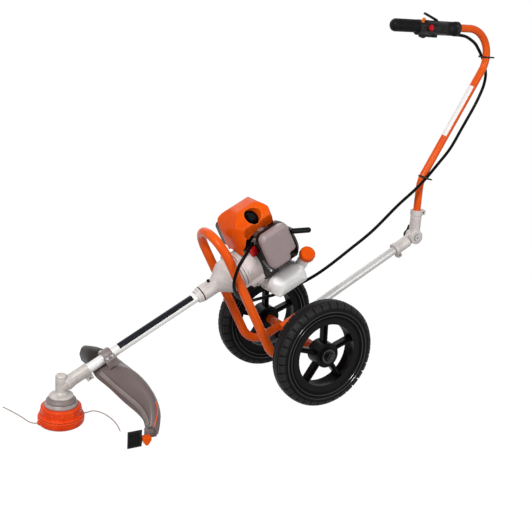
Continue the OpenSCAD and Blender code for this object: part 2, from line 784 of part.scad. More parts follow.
// Black flap that carries the line cutter
module line_cutter() {
    tip = guard_rim[len(guard_rim) - 1];
    right = tip[0] - 20 - fit;
    color(black) translate([0, tip[1] - 11, flap_low]) {
        difference() {
            span([right - flap_w, -1.6, 0], [right, 1.6, flap_h]);
            for (i = [0 : 3]) translate([right - 10 - 7 * i, -3, 6]) cube([1.2, 2.2, flap_h - 12]);
        }
        span([right - 6, -4, 8], [right, 4, 24]);
    }
}

module drive_tube() {
    color(bright) along_tube() x_ring(tube_d, inner_d, tube_seat_s + fit, tube_end);
}

// Clutch housing: nose with clamp rings, cone, barrel, flange and two ears for the frame
module clutch_housing() {
    nose_bore = tube_d + 2 * fit;
    color(cast) along_tube() difference() {
        union() {
            x_rod(nose_d - 7, nose_s, nose_s + 8);
            x_rod(nose_d - 2, nose_s + 8, nose_s + 14);
            x_rod(nose_d - 6, nose_s + 14, nose_s + 17);
            x_rod(nose_d, nose_s + 17, cone_s);
            x_cone(nose_d, barrel_d, cone_s, barrel_s);
            x_rod(barrel_d, barrel_s, face_s);
            x_rod(clutch_flange_d, face_s - 8, face_s);
            for (side = [-1, 1]) span([loop_s - ear_d / 2, min(side * 30, side * (leg_y - frame_d / 2 - fit)), -ear_d / 2],
                [loop_s + ear_d / 2, max(side * 30, side * (leg_y - frame_d / 2 - fit)), ear_d / 2]);
            for (turn = [45 : 90 : 315]) rotate([turn, 0, 0]) translate([0, 0, clutch_flange_d / 2 - 2])
                x_rod(13, face_s - 16, face_s);
        }
        x_rod(nose_bore, nose_s - 1, tube_end + 2);
        x_rod(nose_d - 2 * clutch_wall, tube_end + 1, tube_end + 18);
        x_cone(nose_d - 2 * clutch_wall, drum_clutch_d + 8, tube_end + 17.9, barrel_s + 2);
        x_rod(drum_clutch_d + 8, barrel_s + 1.9, face_s + 1);
        for (side = [-1, 1]) translate([loop_s, 0, 0])
            y_rod(ear_bolt_d + 0.4, side > 0 ? leg_y - 20.5 : -leg_y, side > 0 ? leg_y : 20.5 - leg_y);
    }
}

// Clutch drum on the upper end of the drive shaft
module clutch_drum() {
    color(steel) along_tube() difference() {
        union() {
            x_rod(drum_clutch_d, barrel_s + 6, face_s - 12);
            x_rod(shaft_d + 10, tube_end + 18, barrel_s + 8);
        }
        x_rod(drum_clutch_d - 5, barrel_s + 9, face_s);
        x_rod(shaft_d + 2 * run, nose_s, face_s);
    }
}

// Two centrifugal shoes on the front end of the crankshaft
module clutch_shoes() {
    outer = drum_clutch_d - 5 - 2 * pass - 1;
    color(steel) along_tube() difference() {
        x_ring(outer, journal_d + 2 * fit, face_s - 26, face_s - 14);
        span([face_s - 40, -2, -outer], [face_s, 2, outer]);
    }
}

// Crankcase: barrel with a deck for the cylinder and feet for the tank
module crankcase() {
    s0 = face_s + fit;
    color(cast) along_tube() difference() {
        union() {
            x_rod(crankcase_d, s0, crankcase_end);
            x_rod(starter_d, crankcase_end - 6, crankcase_end);
            x_rod(clutch_flange_d, s0, s0 + 7);
            for (turn = [45 : 90 : 315]) rotate([turn, 0, 0]) translate([0, 0, clutch_flange_d / 2 - 2]) x_rod(13, s0, s0 + 12);
            span([cylinder_s - 34, -34, 0], [cylinder_s + 34, 34, deck_h]);
            span([s0 + 14, -30, tank_top + fit], [crankcase_end - 10, 30, -20]);
            for (y = [-40, -24, 24, 40]) span([s0 + 6, y - 1.5, -crankcase_d / 2 + 6], [crankcase_end - 4, y + 1.5, 0]);
        }
        x_rod(crankcase_d - 16, s0 + 14, crankcase_end - 12);
        x_rod(journal_d + 2 * fit, s0 - 1, crankcase_end + 1);
        translate([cylinder_s, 0, 0]) cylinder(d = bore_d + 10 + 2 * fit, h = deck_h + 1);
    }
}

// Crankshaft with two webs and a pin, at the top of its stroke
module crankshaft() {
    web_t = 9;
    gap = 8;
    color(steel) along_tube() {
        x_rod(journal_d, face_s - 27, cylinder_s - gap - web_t / 2);
        x_rod(journal_d, cylinder_s + gap + web_t / 2, starter_s + 40);
        for (side = [-1, 1]) translate([cylinder_s + side * (gap + web_t / 2), 0, 0])
            difference() {
                x_rod(60, -web_t / 2, web_t / 2);
                span([-web_t, -40, throw_r + 9], [web_t, 40, 60]);
            }
        translate([0, 0, throw_r]) x_rod(11, cylinder_s - gap, cylinder_s + gap);
    }
}

module connecting_rod() {
    eye_t = 10;
    color(steel) along_tube() difference() {
        union() {
            translate([0, 0, throw_r]) x_rod(20, cylinder_s - eye_t / 2, cylinder_s + eye_t / 2);
            translate([0, 0, pin_n]) x_rod(15, cylinder_s - eye_t / 2, cylinder_s + eye_t / 2);
            span([cylinder_s - 3, -5, throw_r], [cylinder_s + 3, 5, pin_n]);
        }
        translate([0, 0, throw_r]) x_rod(11 + 2 * fit, cylinder_s - 20, cylinder_s + 20);
        translate([0, 0, pin_n]) x_rod(9 + 2 * fit, cylinder_s - 20, cylinder_s + 20);
    }
}

// Piston with its pin
module piston() {
    color(bright) along_tube() translate([cylinder_s, 0, pin_n]) {
        difference() {
            translate([0, 0, -piston_h / 2]) cylinder(d = bore_d - 2 * fit, h = piston_h);
            translate([0, 0, -piston_h / 2 - 1]) cylinder(d = bore_d - 8, h = piston_h - 5);
        }
        x_rod(9, -bore_d / 2 + 3, bore_d / 2 - 3);
    }
}

// Finned cylinder with ports at its sides
module cylinder_block() {
    pitch = fin_zone / fin_count;
    difference() {
        union() {
            translate([0, 0, crank_top]) cylinder(d = bore_d + 12, h = cylinder_h);
            translate([-33, -33, crank_top]) cube([66, 66, 6]);
            for (i = [0 : fin_count - 1]) translate([0, 0, crank_top + 9 + pitch * i])
                linear_extrude(height = fin_t) round_rect(fin_w, fin_w, 12);
            translate([0, 0, carb_n]) span([0, port_y, -13], [34, 0, 13]);
            translate([0, 0, carb_n + 4]) span([-18, 0, -13], [18, -port_y, 13]);
        }
        translate([0, 0, crank_top - 1]) cylinder(d = bore_d, h = cylinder_h - 6);
        translate([0, 0, crank_top - 40]) cylinder(d = bore_d, h = 45);
        translate([20, 0, carb_n]) y_rod(18, port_y - 1, -bore_d / 2);
        translate([0, 0, carb_n + 4]) y_rod(18, bore_d / 2, -port_y + 1);
    }
}

module engine_cylinder() {
    color(cast) along_tube() difference() {
        translate([cylinder_s, 0, 0]) cylinder_block();
        aimed(plug_base, plug_turn, plug_tilt) translate([0, 0, -1]) cylinder(d = 24, h = 60);
    }
}

// Flywheel with fan blades
module flywheel() {
    color(cast) along_tube() difference() {
        union() {
            x_rod(flywheel_d, flywheel_s, flywheel_s + 8);
            for (i = [0 : 11]) rotate([30 * i, 0, 0])
                span([flywheel_s, -1.5, 26], [flywheel_s + flywheel_t, 1.5, flywheel_d / 2 - 2]);
            x_rod(34, flywheel_s, flywheel_s + 14);
        }
        x_rod(journal_d + 2 * fit, flywheel_s - 1, flywheel_s + flywheel_t + 1);
    }
}

// Solid form of the shroud: its side outline crossed with its end outline
module shroud_form(inset) {
    half = shroud_half - inset;
    s0 = shroud_s0 + inset;
    s1 = shroud_s1 - inset;
    top = shroud_top - inset;
    r = shroud_r - inset;
    front_r = 56 - inset;
    rear_r = 26 - inset;
    intersection() {
        translate([s0 - 1, 0, 0]) rotate([90, 0, 90]) linear_extrude(height = s1 - s0 + 2) {
            translate([-half, 0]) square([2 * half, top - r]);
            translate([-half + r, 0]) square([2 * (half - r), top]);
            for (side = [-1, 1]) translate([side * (half - r), top - r]) circle(r = r);
        }
        translate([0, half + 1, 0]) rotate([90, 0, 0]) linear_extrude(height = 2 * half + 2) {
            translate([s0, shroud_bottom]) square([s1 - s0, top - front_r - shroud_bottom]);
            translate([s0 + front_r, shroud_bottom]) square([s1 - s0 - front_r - rear_r, top - shroud_bottom]);
            translate([s0 + front_r, top - front_r]) circle(r = front_r);
            translate([s1 - rear_r, top - front_r]) square([rear_r, front_r - rear_r]);
            translate([s1 - rear_r, top - rear_r]) circle(r = rear_r);
        }
        translate([(s0 + s1) / 2, 0, 0]) linear_extrude(height = top + 1) {
            round_rect(s1 - s0, 2 * half, shroud_corner - inset);
            translate([(s1 - s0) / 4, -half / 2]) round_rect((s1 - s0) / 2, half, rear_r - 10);
        }
    }
}

// Orange shroud over the cylinder, open below and cut for the plug, intake, muffler and starter
module engine_shroud() {
    color(orange) along_tube() difference() {
        union() {
            difference() {
                shroud_form(0);
                translate([0, 0, -shroud_wall - 0.01]) shroud_form(shroud_wall);
                span([shroud_s0 + shroud_wall, -shroud_half + shroud_wall, 0],
                    [shroud_s1 - shroud_wall, shroud_half - shroud_wall, shroud_bottom + 20]);
            }
            intersection() {
                shroud_form(0);
                aimed(plug_base, plug_turn, plug_tilt) difference() {
                    cylinder(d = 50, h = 90);
                    translate([0, 0, -1]) cylinder(d = 44, h = 92);
                    cylinder(d = 60, h = 34);
                }
            }
        }
        aimed(plug_base, plug_turn, plug_tilt) cylinder(d = 44, h = 90);
        translate([0, -44, 0]) rotate([90, 0, 0]) linear_extrude(height = shroud_half)
            polygon([[shroud_s0 - 1, 0], [shroud_s0 - 1, carb_n - 16], [filter_open_s - 32, carb_n + 6],
                [filter_open_s - 24, carb_n + 24], [filter_open_s - 6, filter_top + 6], [shroud_s1 + 1, filter_top + 6],
                [shroud_s1 + 1, 0]]);
        span([cylinder_s - 46, 40, 0], [cylinder_s + 50, shroud_half + 1, carb_n + 46]);
        x_rod(starter_d + 2 * pass, crankcase_end - 7, shroud_s1 + 2);
        x_rod(crankcase_d + 16, face_s - 1, shroud_s1 + 2);
    }
}

module spark_plug() {
    color(steel) along_tube() aimed(plug_base, plug_turn, plug_tilt) {
        cylinder(d = 14, h = 10);
        translate([0, 0, 10]) cylinder(d = 22, h = 7, $fn = 6);
        translate([0, 0, 17]) cylinder(d = 11, h = 16);
    }
}

// Rubber boot over the plug, with a bent lead stub
module spark_plug_boot() {
    color(black) along_tube() aimed(plug_base, plug_turn, plug_tilt) difference() {
        union() {
            translate([0, 0, 18]) cylinder(d = 27, h = 20);
            translate([0, 0, 38]) cylinder(d1 = 27, d2 = 20, h = 6);
            translate([0, 0, 34]) rotate([0, 78, 180]) cylinder(d = 15, h = 17);
        }
        translate([0, 0, 17]) cylinder(d = 11 + 2 * fit, h = 16 + fit);
    }
}

// Carburettor with its spacer, throttle barrel and filter flange
module carburettor() {
    color(cast) along_tube() translate([carb_s, 0, carb_n]) difference() {
        union() {
            y_slab(40, 34, 4, port_y - 8, port_y - fit);
            y_slab(46, 46, 6, carb_y0, port_y - 8);
            translate([0, (carb_y0 + port_y) / 2, 0]) cylinder(d = 18, h = 25);
            translate([-20, cable_y, 8]) rotate(20) {
                x_rod(13, -18, 4);
                x_rod(16, -12, -8);
            }
            translate([0, (carb_y0 + port_y) / 2, -34]) cylinder(d = 22, h = 20);
            translate([filter_s - carb_s, 0, filter_n - carb_n])
                y_slab(filter_len, filter_h, 18, filter_y + fit, carb_y0 + 1);
        }
        y_rod(18, filter_y - 1, port_y + 1);
        translate([filter_s - carb_s + filter_len / 2 - 17, 0, filter_n - carb_n - filter_h / 2 + 4])
            y_rod(5 + 2 * run, filter_y - 1, carb_y0 + 2);
    }
}

module filter_place() {
    along_tube() translate([filter_s, 0, filter_n]) children();
}

// Filter cover: a deep lid with soft corners and a notch for the choke lever
module air_filter_cover() {
    face = filter_y - filter_depth;
    color(taupe) filter_place() difference() {
        union() {
            y_slab(filter_len, filter_h, 18, face + 6, filter_y);
            y_slab(filter_len - 5, filter_h - 5, 16, face + 2, face + 6);
            y_slab(filter_len - 10, filter_h - 10, 14, face, face + 2);
        }
        y_slab(filter_len - 5, filter_h - 5, 15.5, face + 8, filter_y + 1);
        translate([filter_len / 2, 0, -filter_h / 2]) y_slab(46, 38, 8, face - 1, filter_y + 1);
    }
}

module air_filter_element() {
    face = filter_y - filter_depth;
    color(black) filter_place() difference() {
        y_slab(filter_len - 9, filter_h - 9, 12, face + 8 + fit, filter_y);
        translate([filter_len / 2, 0, -filter_h / 2]) y_slab(56, 48, 10, face - 1, filter_y + 1);
    }
}

// Choke lever on the carburettor's flange, showing in the cover's notch
module choke_lever() {
    color(black) filter_place() translate([filter_len / 2 - 17, 0, -filter_h / 2 + 4]) {
        y_rod(9, filter_y - 11, filter_y - 3);
        translate([0, filter_y - 11, -3]) rotate([0, 35, 0]) cube([20, 4, 6]);
        y_rod(5, filter_y - 3, filter_y + 10);
    }
}

// Muffler box on the right side, with pressed ribs and an outlet
module muffler() {
    y0 = -port_y + fit;
    color(steel) along_tube() translate([cylinder_s, 0, carb_n + 4]) {
        difference() {
            union() {
                y_slab(40, 30, 4, y0, y0 + 8);
                y_slab(84, 74, 12, y0 + 8, y0 + 46);
                for (x = [-24, 0, 24]) translate([x, 0, 0]) y_slab(8, 60, 3.9, y0 + 46, y0 + 49);
                translate([24, y0 + 30, -30]) rotate([180, 0, 0]) cylinder(d = 14, h = 16);
            }
            y_slab(80, 70, 10, y0 + 10, y0 + 44);
            y_rod(18, y0 - 1, y0 + 12);
            translate([24, y0 + 30, -28]) rotate([180, 0, 0]) cylinder(d = 10, h = 30);
        }
    }
}

// Rounded block, as three crossed slabs
module soft_block(size, r) {
    intersection() {
        y_slab(size[0], size[2], r, -size[1] / 2, size[1] / 2);
        x_slab(size[1], size[2], r, -size[0] / 2, size[0] / 2);
        translate([0, 0, -size[2] / 2]) linear_extrude(height = size[2]) round_rect(size[0], size[1], r);
    }
}

// White fuel tank with a slanted filler neck
module fuel_tank() {
    size = [tank_len, tank_w, tank_h];
    shell = 2 * tank_wall;
    color(white) along_tube() difference() {
        union() {
            translate(tank_mid) soft_block(size, tank_r);
            aimed(cap_seat, cap_turn, cap_tilt) translate([0, 0, -34]) cylinder(d = cap_d - 8, h = neck_up + 34);
        }
        translate(tank_mid) soft_block(size - [shell, shell, shell], tank_r - tank_wall);
        aimed(cap_seat, cap_turn, cap_tilt) translate([0, 0, -36]) cylinder(d = cap_d - 15, h = neck_up + 60);
    }
}

// Screw cap with a knurled edge
module fuel_cap() {
    color(orange) along_tube() aimed(cap_seat, cap_turn, cap_tilt) translate([0, 0, neck_up - 8]) difference() {
        union() {
            cylinder(d = cap_d, h = cap_h - 3);
            translate([0, 0, cap_h - 3]) cylinder(d1 = cap_d, d2 = cap_d - 8, h = 3);
            for (i = [0 : 17]) rotate(20 * i) translate([cap_d / 2 - 0.6, 0, 0]) cylinder(d = 4, h = cap_h - 5);
        }
        translate([0, 0, -1]) cylinder(d = cap_d - 8 + 2 * run, h = 1 + neck_up - cap_h + 2);
    }
}

// Starter cover: a drum with air slots in its end and an eyelet for the rope
module starter_cover() {
    color(black) along_tube() difference() {
        union() {
            x_rod(starter_d, starter_s, starter_end - 10);
            x_cone(starter_d, starter_d - 18, starter_end - 10, starter_end);
            translate(rope_exit) rotate([90 - rope_rise, 0, 0]) translate([0, 0, -38]) cylinder(d = 16, h = 38);
        }
        x_rod(starter_d - 8, starter_s - 1, starter_end - 12);
        x_cone(starter_d - 8, starter_d - 26, starter_end - 12.1, starter_end - 3);
        for (i = [0 : 9]) rotate([36 * i, 0, 0]) span([starter_end - 5, -3, 22], [starter_end + 1, 3, starter_d / 2 - 16]);
        translate(rope_exit) rotate([90 - rope_rise, 0, 0]) translate([0, 0, -48]) cylinder(d = rope_d + 1.2, h = 52);
    }
    color(black) along_tube() x_rod(14, pulley_s - 6, starter_end - 1);
}

module starter_pulley() {
    color(white) along_tube() difference() {
        union() {
            x_rod(2 * pulley_r + 6, pulley_s - pulley_t / 2, pulley_s - 3);
            x_rod(2 * pulley_r - rope_d, pulley_s - 3, pulley_s + 3);
            x_rod(2 * pulley_r + 6, pulley_s + 3, pulley_s + pulley_t / 2);
        }
        x_rod(14 + 2 * run, pulley_s - 20, pulley_s + 20);
    }
}

// Stretch of rope between the pulley and the handle
module starter_rope() {
    color(white) along_tube() translate(rope_exit) rotate([90 - rope_rise, 0, 0])
        translate([0, 0, -44]) cylinder(d = rope_d, h = 54);
}

// Pull handle that seats on the eyelet: a stem with a cross bar
module starter_handle() {
    stem = 26;
    color(black) along_tube() translate(rope_exit) rotate([90 - rope_rise, 0, 0]) translate([0, 0, fit]) difference() {
        union() {
            cylinder(d1 = 17, d2 = 13, h = stem);
            translate([0, 0, stem]) rotate(-28) {
                x_rod(15, -pull_len * 0.05, pull_len * 0.95);
                for (end = [-0.05, 0.95]) translate([pull_len * end, 0, 0]) sphere(d = 15);
            }
        }
        translate([0, 0, -1]) cylinder(d = rope_d + 0.6, h = 12);
    }
}

// Steps of one leg, from the middle of the loop's top bend to the axle
module frame_tubes(d) {
    for (side = [-1, 1]) translate([loop_s, side * leg_y, leg_top]) rotate([0, 90, 0])
        bent_rod(d, 0, [[leg_top - leg_foot, foot_r, 90], [axle_s - loop_s - foot_r, 0, 0]]);
    translate([loop_s, 0, leg_top]) rotate([90, 0, 90]) rotate_extrude(angle = 180) translate([leg_y, 0]) circle(d = d);
}

// Welded frame: the loop with its two legs, the axle sleeve and the socket of the rear tube
module frame() {
    color(orange) along_tube() difference() {
        union() {
            difference() {
                frame_tubes(frame_d);
                frame_tubes(frame_d - 2 * frame_wall);
            }
            translate([axle_s, 0, axle_n]) y_rod(sleeve_d, -sleeve_half, sleeve_half);
            translate([0, 0, rear_n]) x_rod(socket_d, socket_s, socket_s + socket_len);
            for (y = [-11, 11]) span([axle_s - 14, y - 2, axle_n], [axle_s + 20, y + 2, rear_n]);
        }
        translate([axle_s, 0, axle_n]) y_rod(axle_d + 2 * fit, -sleeve_half - 1, sleeve_half + 1);
        translate([0, 0, rear_n]) x_rod(rear_d + 2 * fit, socket_s + 4, socket_s + socket_len + 1);
        translate([loop_s, 0, 0]) y_rod(ear_bolt_d + 0.4, -leg_y, leg_y);
    }
}

module axle() {
    color(steel) translate([axle_x, 0, axle_h]) y_rod(axle_d, -axle_half, axle_half);
}

// Five spoked rim with a stepped hub, turning on the axle
module rim() {
    color(black) difference() {
        union() {
            rotate([90, 0, 0]) rotate_extrude() polygon([[rim_open_d / 2, -rim_w / 2], [seat_r + 4, -rim_w / 2],
                [seat_r, -rim_w / 2 + 5], [seat_r, rim_w / 2 - 5], [seat_r + 4, rim_w / 2],
                [rim_open_d / 2, rim_w / 2], [rim_open_d / 2 + 4, 0]]);
            y_rod(hub_d, -hub_len / 2 + 8, hub_len / 2 - 8);
            y_rod(hub_d * 0.62, -hub_len / 2, hub_len / 2);
            for (i = [0 : spoke_count - 1]) rotate([0, -spoke_turn - 360 * i / spoke_count, 0]) {
                span([hub_d / 2 - 5, -9, -spoke_w / 2], [rim_open_d / 2 + 2.5, 9, spoke_w / 2]);
                span([hub_d / 2 - 5, -15, -2.5], [rim_open_d / 2 + 2.5, 15, 2.5]);
            }
        }
        y_rod(axle_d + 2 * run, -hub_len, hub_len);
    }
}

// Tyre with sidewall ridges and shoulder lugs
module tyre() {
    half = tyre_w / 2;
    bead = rim_w / 2 - 1;
    lug_len = 11;
    color(black) difference() {
        rotate([90, 0, 0]) rotate_extrude($fn = 72) polygon([
            [seat_r + 4 + fit, -bead], [seat_r + 8, -bead - 2], [seat_r + 9, -half + 2], [seat_r + 12, -half + 1],
            [seat_r + 14, -half + 2.5], [seat_r + 17, -half + 1], [seat_r + 24, -half], [tyre_r - 13, -half + 1],
            [tyre_r - 5, -half + 6], [tyre_r - 1, -half + 15], [tyre_r, -6],
            [tyre_r, 6], [tyre_r - 1, half - 15], [tyre_r - 5, half - 6],
            [tyre_r - 13, half - 1], [seat_r + 24, half], [seat_r + 17, half - 1], [seat_r + 14, half - 2.5],
            [seat_r + 12, half - 1], [seat_r + 9, half - 2], [seat_r + 8, bead + 2], [seat_r + 4 + fit, bead],
            [seat_r + fit, bead - 4], [seat_r + fit, 4 - bead]]);
        for (i = [0 : lug_count - 1], side = [-1, 1])
            rotate([0, 360 * (i + side / 4) / lug_count, 0])
                span([tyre_r - 7, side > 0 ? half - lug_len : -half - 1, -2.4], [tyre_r + 2, side > 0 ? half + 1 : lug_len - half, 2.4]);
    }
}

module wheel_place(side) {
    translate([axle_x, side * track / 2, axle_h]) children();
}

module left_rim() {
    wheel_place(-1) rim();
}

module left_tyre() {
    wheel_place(-1) tyre();
}

module right_rim() {
    wheel_place(1) rim();
}

module right_tyre() {
    wheel_place(1) tyre();
}

module rear_tube() {
    color(bright) along_tube() translate([0, 0, rear_n])
        x_ring(rear_d, rear_d - 2 * rear_wall, socket_s + 4 + fit, pivot_s - joint_d / 2 - 12);
}

// Lower half of the folding joint: a clamp on the rear tube, a neck and a toothed disc
module lower_joint() {
    seat = pivot_s - joint_d / 2 - 12;
    color(cast) along_tube() translate([0, 0, rear_n]) difference() {
        union() {
            x_rod(joint_clamp_d, seat - 46, seat + 6);
            x_rod(joint_clamp_d + 4, seat - 46, seat - 34);
            span([seat - 44, -9, -joint_clamp_d / 2 - 11], [seat - 30, 9, 0]);
            intersection() {
                x_rod(joint_clamp_d, seat, pivot_s);
                span([seat, fit, -joint_d], [pivot_s, joint_d, joint_d]);
            }
            translate([pivot_s, 0, 0]) y_rod(joint_d, fit, joint_t);
        }
        x_rod(rear_d + 2 * fit, seat - 47, seat + fit);
        span([seat - 47, -1, -joint_clamp_d], [seat - 20, 1, 0]);
        translate([seat - 37, 0, -joint_clamp_d / 2 - 5]) y_rod(6.4, -20, 20);
        translate([pivot_s, 0, 0]) y_rod(bolt_d + 2 * run, -joint_d, joint_d);
        translate([pivot_s, 0, 0]) y_rod(joint_d + 1.2, -joint_d, 0);
    }
}

// Upper half of the folding joint, which carries the handlebar
module upper_joint() {
    seat = bar_start - 2;
    color(cast) at_pivot() difference() {
        union() {
            y_rod(joint_d, -joint_t, -fit);
            intersection() {
                cylinder(d = bar_clamp_d, h = seat);
                span([-joint_d, -joint_d, 0], [joint_d, -fit, joint_d * 2]);
            }
            translate([0, 0, joint_d / 2 + 3]) cylinder(d = bar_clamp_d, h = seat + 34 - joint_d / 2);
            translate([0, 0, seat + 22]) cylinder(d = bar_clamp_d + 4, h = 15);
            span([0, -9, seat + 22], [bar_clamp_d / 2 + 11, 9, seat + 37]);
        }
        translate([0, 0, seat]) cylinder(d = bar_d + 2 * fit, h = 60);
        span([0, -1, seat + 12], [bar_clamp_d, 1, seat + 40]);
        translate([bar_clamp_d / 2 + 4, 0, seat + 29.5]) y_rod(6.4, -20, 20);
        y_rod(bolt_d + 2 * run, -joint_d, joint_d);
        y_rod(20, -joint_d, -joint_t + 6);
    }
}

// Black wing knob on the far end of the joint's bolt
module clamp_knob() {
    y0 = joint_clamp_d / 2 + pass;
    color(black) at_pivot() difference() {
        union() {
            y_rod(24, y0, y0 + 16);
            rotate([0, 20, 0]) y_slab(11, 58, 5.4, y0 + 4, y0 + 18);
        }
        y_rod(bolt_d + 2 * run, y0 - 1, y0 + 12);
    }
}

module handlebar() {
    color(orange) at_pivot() translate([0, 0, bar_start]) rotate([0, -90, 0])
        bent_rod(bar_d, bar_d - 2 * bar_wall, [[bar_rise, bend_low_r, -bar_lean],
            [bar_len, bend_top_r, 90 + bar_lean], [bar_level, 0, 0]]);
}

// Frame of the grip: X along the bar, Z up, at the grip's axis
module at_grip() {
    translate([0, 0, bar_z]) children();
}

// Upright oval section of the grip housing, from one X to another
module oval(w, drop, from, to) {
    x_rod(w, from, to);
    translate([0, 0, -drop]) x_rod(w, from, to);
    span([from, -w / 2, -drop], [to, w / 2, 0]);
}

// Grip housing: rear sleeve and control section, with room for the trigger and the levers
module throttle_grip() {
    color(black) at_grip() difference() {
        union() {
            oval(housing_w - 3, housing_drop, control_rear, grip_rear - 12);
            oval(housing_w - 1, housing_drop, grip_rear - 12, grip_rear);
            oval(housing_w, housing_drop, grip_front + fit, control_rear);
            span([control_rear - 16, -7, -half_top - housing_drop - 5], [control_rear, 7, -half_top]);
        }
        x_rod(bar_d + 2 * fit, grip_front - 1, grip_rear + 1);
        span([trigger_x - 40, -5.5, -half_top - housing_drop - 1], [trigger_x + 5, 5.5, -bar_d / 2 - 1]);
        translate([trigger_x, 0, -half_top - 1]) y_rod(5, -9, 9);
        span([lever_x - 30, -6.5, bar_d / 2 + 0.5], [lever_x + 4, 6.5, half_top + 2]);
        translate([lever_x, 0, half_top - 2.5]) y_rod(4, -10, 10);
        translate([control_rear - 62, -10, 8]) rotate([30, 0, 0])
            translate([0, 0, 1.5]) cylinder(d = 9 + 2 * pass, h = 20);
        translate([control_rear - 33, -half_top - 2, -2]) rotate([90, 0, 0])
            translate([0, 0, -6]) cylinder(d = 19, h = 8);
        translate([0, 0, -half_top + 2 - housing_drop / 2]) x_rod(cable_d + 2 * fit, grip_rear - 8, grip_rear + 1);
    }
}

// Ribbed rubber grip with a round front end
module front_grip() {
    tip = grip_front - grip_len;
    color(black) at_grip() difference() {
        union() {
            x_rod(grip_d, tip + 14, grip_front);
            translate([tip + 14, 0, 0]) rotate([0, -90, 0]) rotate_extrude()
                intersection() {
                    union() {
                        square([grip_d / 2 - 12, 14]);
                        translate([grip_d / 2 - 14, 0]) circle(r = 14);
                    }
                    square([grip_d, 14]);
                }
        }
        x_rod(bar_d + 2 * fit, bar_end_x - bar_level - 1, grip_front + 1);
        for (i = [0 : 23]) rotate([15 * i, 0, 0]) span([tip + 16, -1, grip_d / 2 - 1.2], [grip_front - 6, 1, grip_d]);
    }
}

// Throttle trigger below the grip, on a pin at its rear end
module throttle_trigger() {
    color(black) at_grip() translate([trigger_x, 0, -half_top - 1]) {
        difference() {
            union() {
                span([-34, -4.5, -10], [0, 4.5, 0]);
                y_rod(8, -4.5, 4.5);
                translate([-22, 0, -6]) y_rod(14, -4.5, 4.5);
            }
            translate([-8, 0, -17]) y_rod(18, -6, 6);
        }
        y_rod(4.8, -8.5, 8.5);
    }
}

// Lock-off lever over the grip, pressed by the palm
module lockoff_lever() {
    color(black) at_grip() translate([lever_x, 0, half_top - 2.5]) {
        rotate([0, 20, 0]) translate([0, 0, 3]) x_slab(10, 6, 2.8, -48, 0);
        y_rod(7, -5.4, 5.4);
        y_rod(3.8, -9.5, 9.5);
    }
}

module throttle_lock_button() {
    color(orange) at_grip() translate([control_rear - 62, -10, 8]) rotate([30, 0, 0])
        translate([0, 0, 5]) cylinder(d = 9, h = 11);
}

// Red stop switch set in the left side of the housing
module stop_switch() {
    color(red) at_grip() translate([control_rear - 33, -half_top + 4 - fit, -2]) rotate([90, 0, 0]) difference() {
        union() {
            cylinder(d = 17, h = 4);
            translate([0, 0, 4]) rotate(12) linear_extrude(height = 3) round_rect(7, 16, 3);
        }
    }
}

module throttle_cable() {
    color(black) cord(cable_route, cable_d, cable_rings, 10);
}

// Band drawn round the handlebar and the cable
module tie_band(bar, lead, lean) {
    width = 4.5;
    t = 1.6;
    gap = lead - bar;
    translate(bar) rotate([0, lean, 0]) difference() {
        hull() {
            cylinder(d = bar_d + 1 + 2 * t, h = width, center = true, $fn = 32);
            translate(gap) cylinder(d = cable_d + 8 + 2 * t, h = width, center = true, $fn = 32);
        }
        hull() {
            cylinder(d = bar_d + 1, h = width + 2, center = true, $fn = 32);
            translate(gap) cylinder(d = cable_d + 8, h = width + 2, center = true, $fn = 32);
        }
    }
}

module cable_ties() {
    color(black) {
        tie_band([pivot_x + 6.5, 0, pivot_z + 180], [pivot_x + 3, -19, pivot_z + 180], 22);
        tie_band([bar_end_x + bend_top_r, 0, bar_z - bend_top_r], [bar_end_x + bend_top_r - 0.5, 18, bar_z - bend_top_r], 0);
    }
}

// Bolts, nuts and screws that hold the machine together
module fasteners() {
    color(steel) {
        for (side = [-1, 1]) wheel_place(side) {
            start = side * (hub_len / 2 + 1.2);
            stop = start + side * nut_t;
            difference() {
                union() {
                    y_hex(nut_d, min(start, stop), max(start, stop));
                    y_rod(nut_d + 8, side > 0 ? start - 1 : start, side > 0 ? start : start + 1);
                }
                y_rod(axle_d + 2 * fit, -60, 60);
            }
        }
        at_pivot() {
            y_rod(bolt_d, -joint_t + 5.8, joint_t + 12);
            difference() {
                y_rod(18, -joint_t - 2, -joint_t + 5.8);
                y_hex(8, -joint_t - 3, -joint_t + 3);
            }
        }
        along_tube() {
            for (side = [-1, 1]) translate([loop_s, 0, 0])
                y_rod(ear_bolt_d, side > 0 ? leg_y - 20 : -leg_y, side > 0 ? leg_y : 20 - leg_y);
            for (x = [8, clamp_len - 8], y = [-1, 1]) translate([clamp_s + x, y * (clamp_w / 2 - 8), 0]) {
                translate([0, 0, 5 + fit]) cylinder(d = 9.5, h = 4);
                translate([0, 0, -16]) cylinder(d = 5, h = 22);
            }
        }
    }
}

gear_case();
bearings();
bevel_gear();
output_spindle();
head_flange();
head_housing();
head_cover();
line_spool();
trimmer_line_front();
trimmer_line_rear();
guard();
guard_bracket();
guard_end_cap();
line_cutter();
drive_tube();
drive_shaft();
bevel_pinion();
clutch_drum();
clutch_housing();
clutch_shoes();
crankcase();
crankshaft();
connecting_rod();
piston();
engine_cylinder();
flywheel();
engine_shroud();
spark_plug();
spark_plug_boot();
carburettor();
air_filter_element();
air_filter_cover();
choke_lever();
muffler();
fuel_tank();
fuel_cap();
starter_cover();
starter_pulley();
starter_rope();
starter_handle();
frame();
axle();
left_rim();
left_tyre();
right_rim();
right_tyre();
rear_tube();
lower_joint();
upper_joint();
clamp_knob();
handlebar();
throttle_grip();
front_grip();
throttle_trigger();
lockoff_lever();
throttle_lock_button();
stop_switch();
throttle_cable();
cable_ties();
fasteners();
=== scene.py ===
"""Looks of the wheeled string trimmer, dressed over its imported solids."""
import json
import logging
import math
from contextlib import contextmanager
from dataclasses import dataclass
from enum import Enum
from typing import Any, Callable, Iterator, Sequence

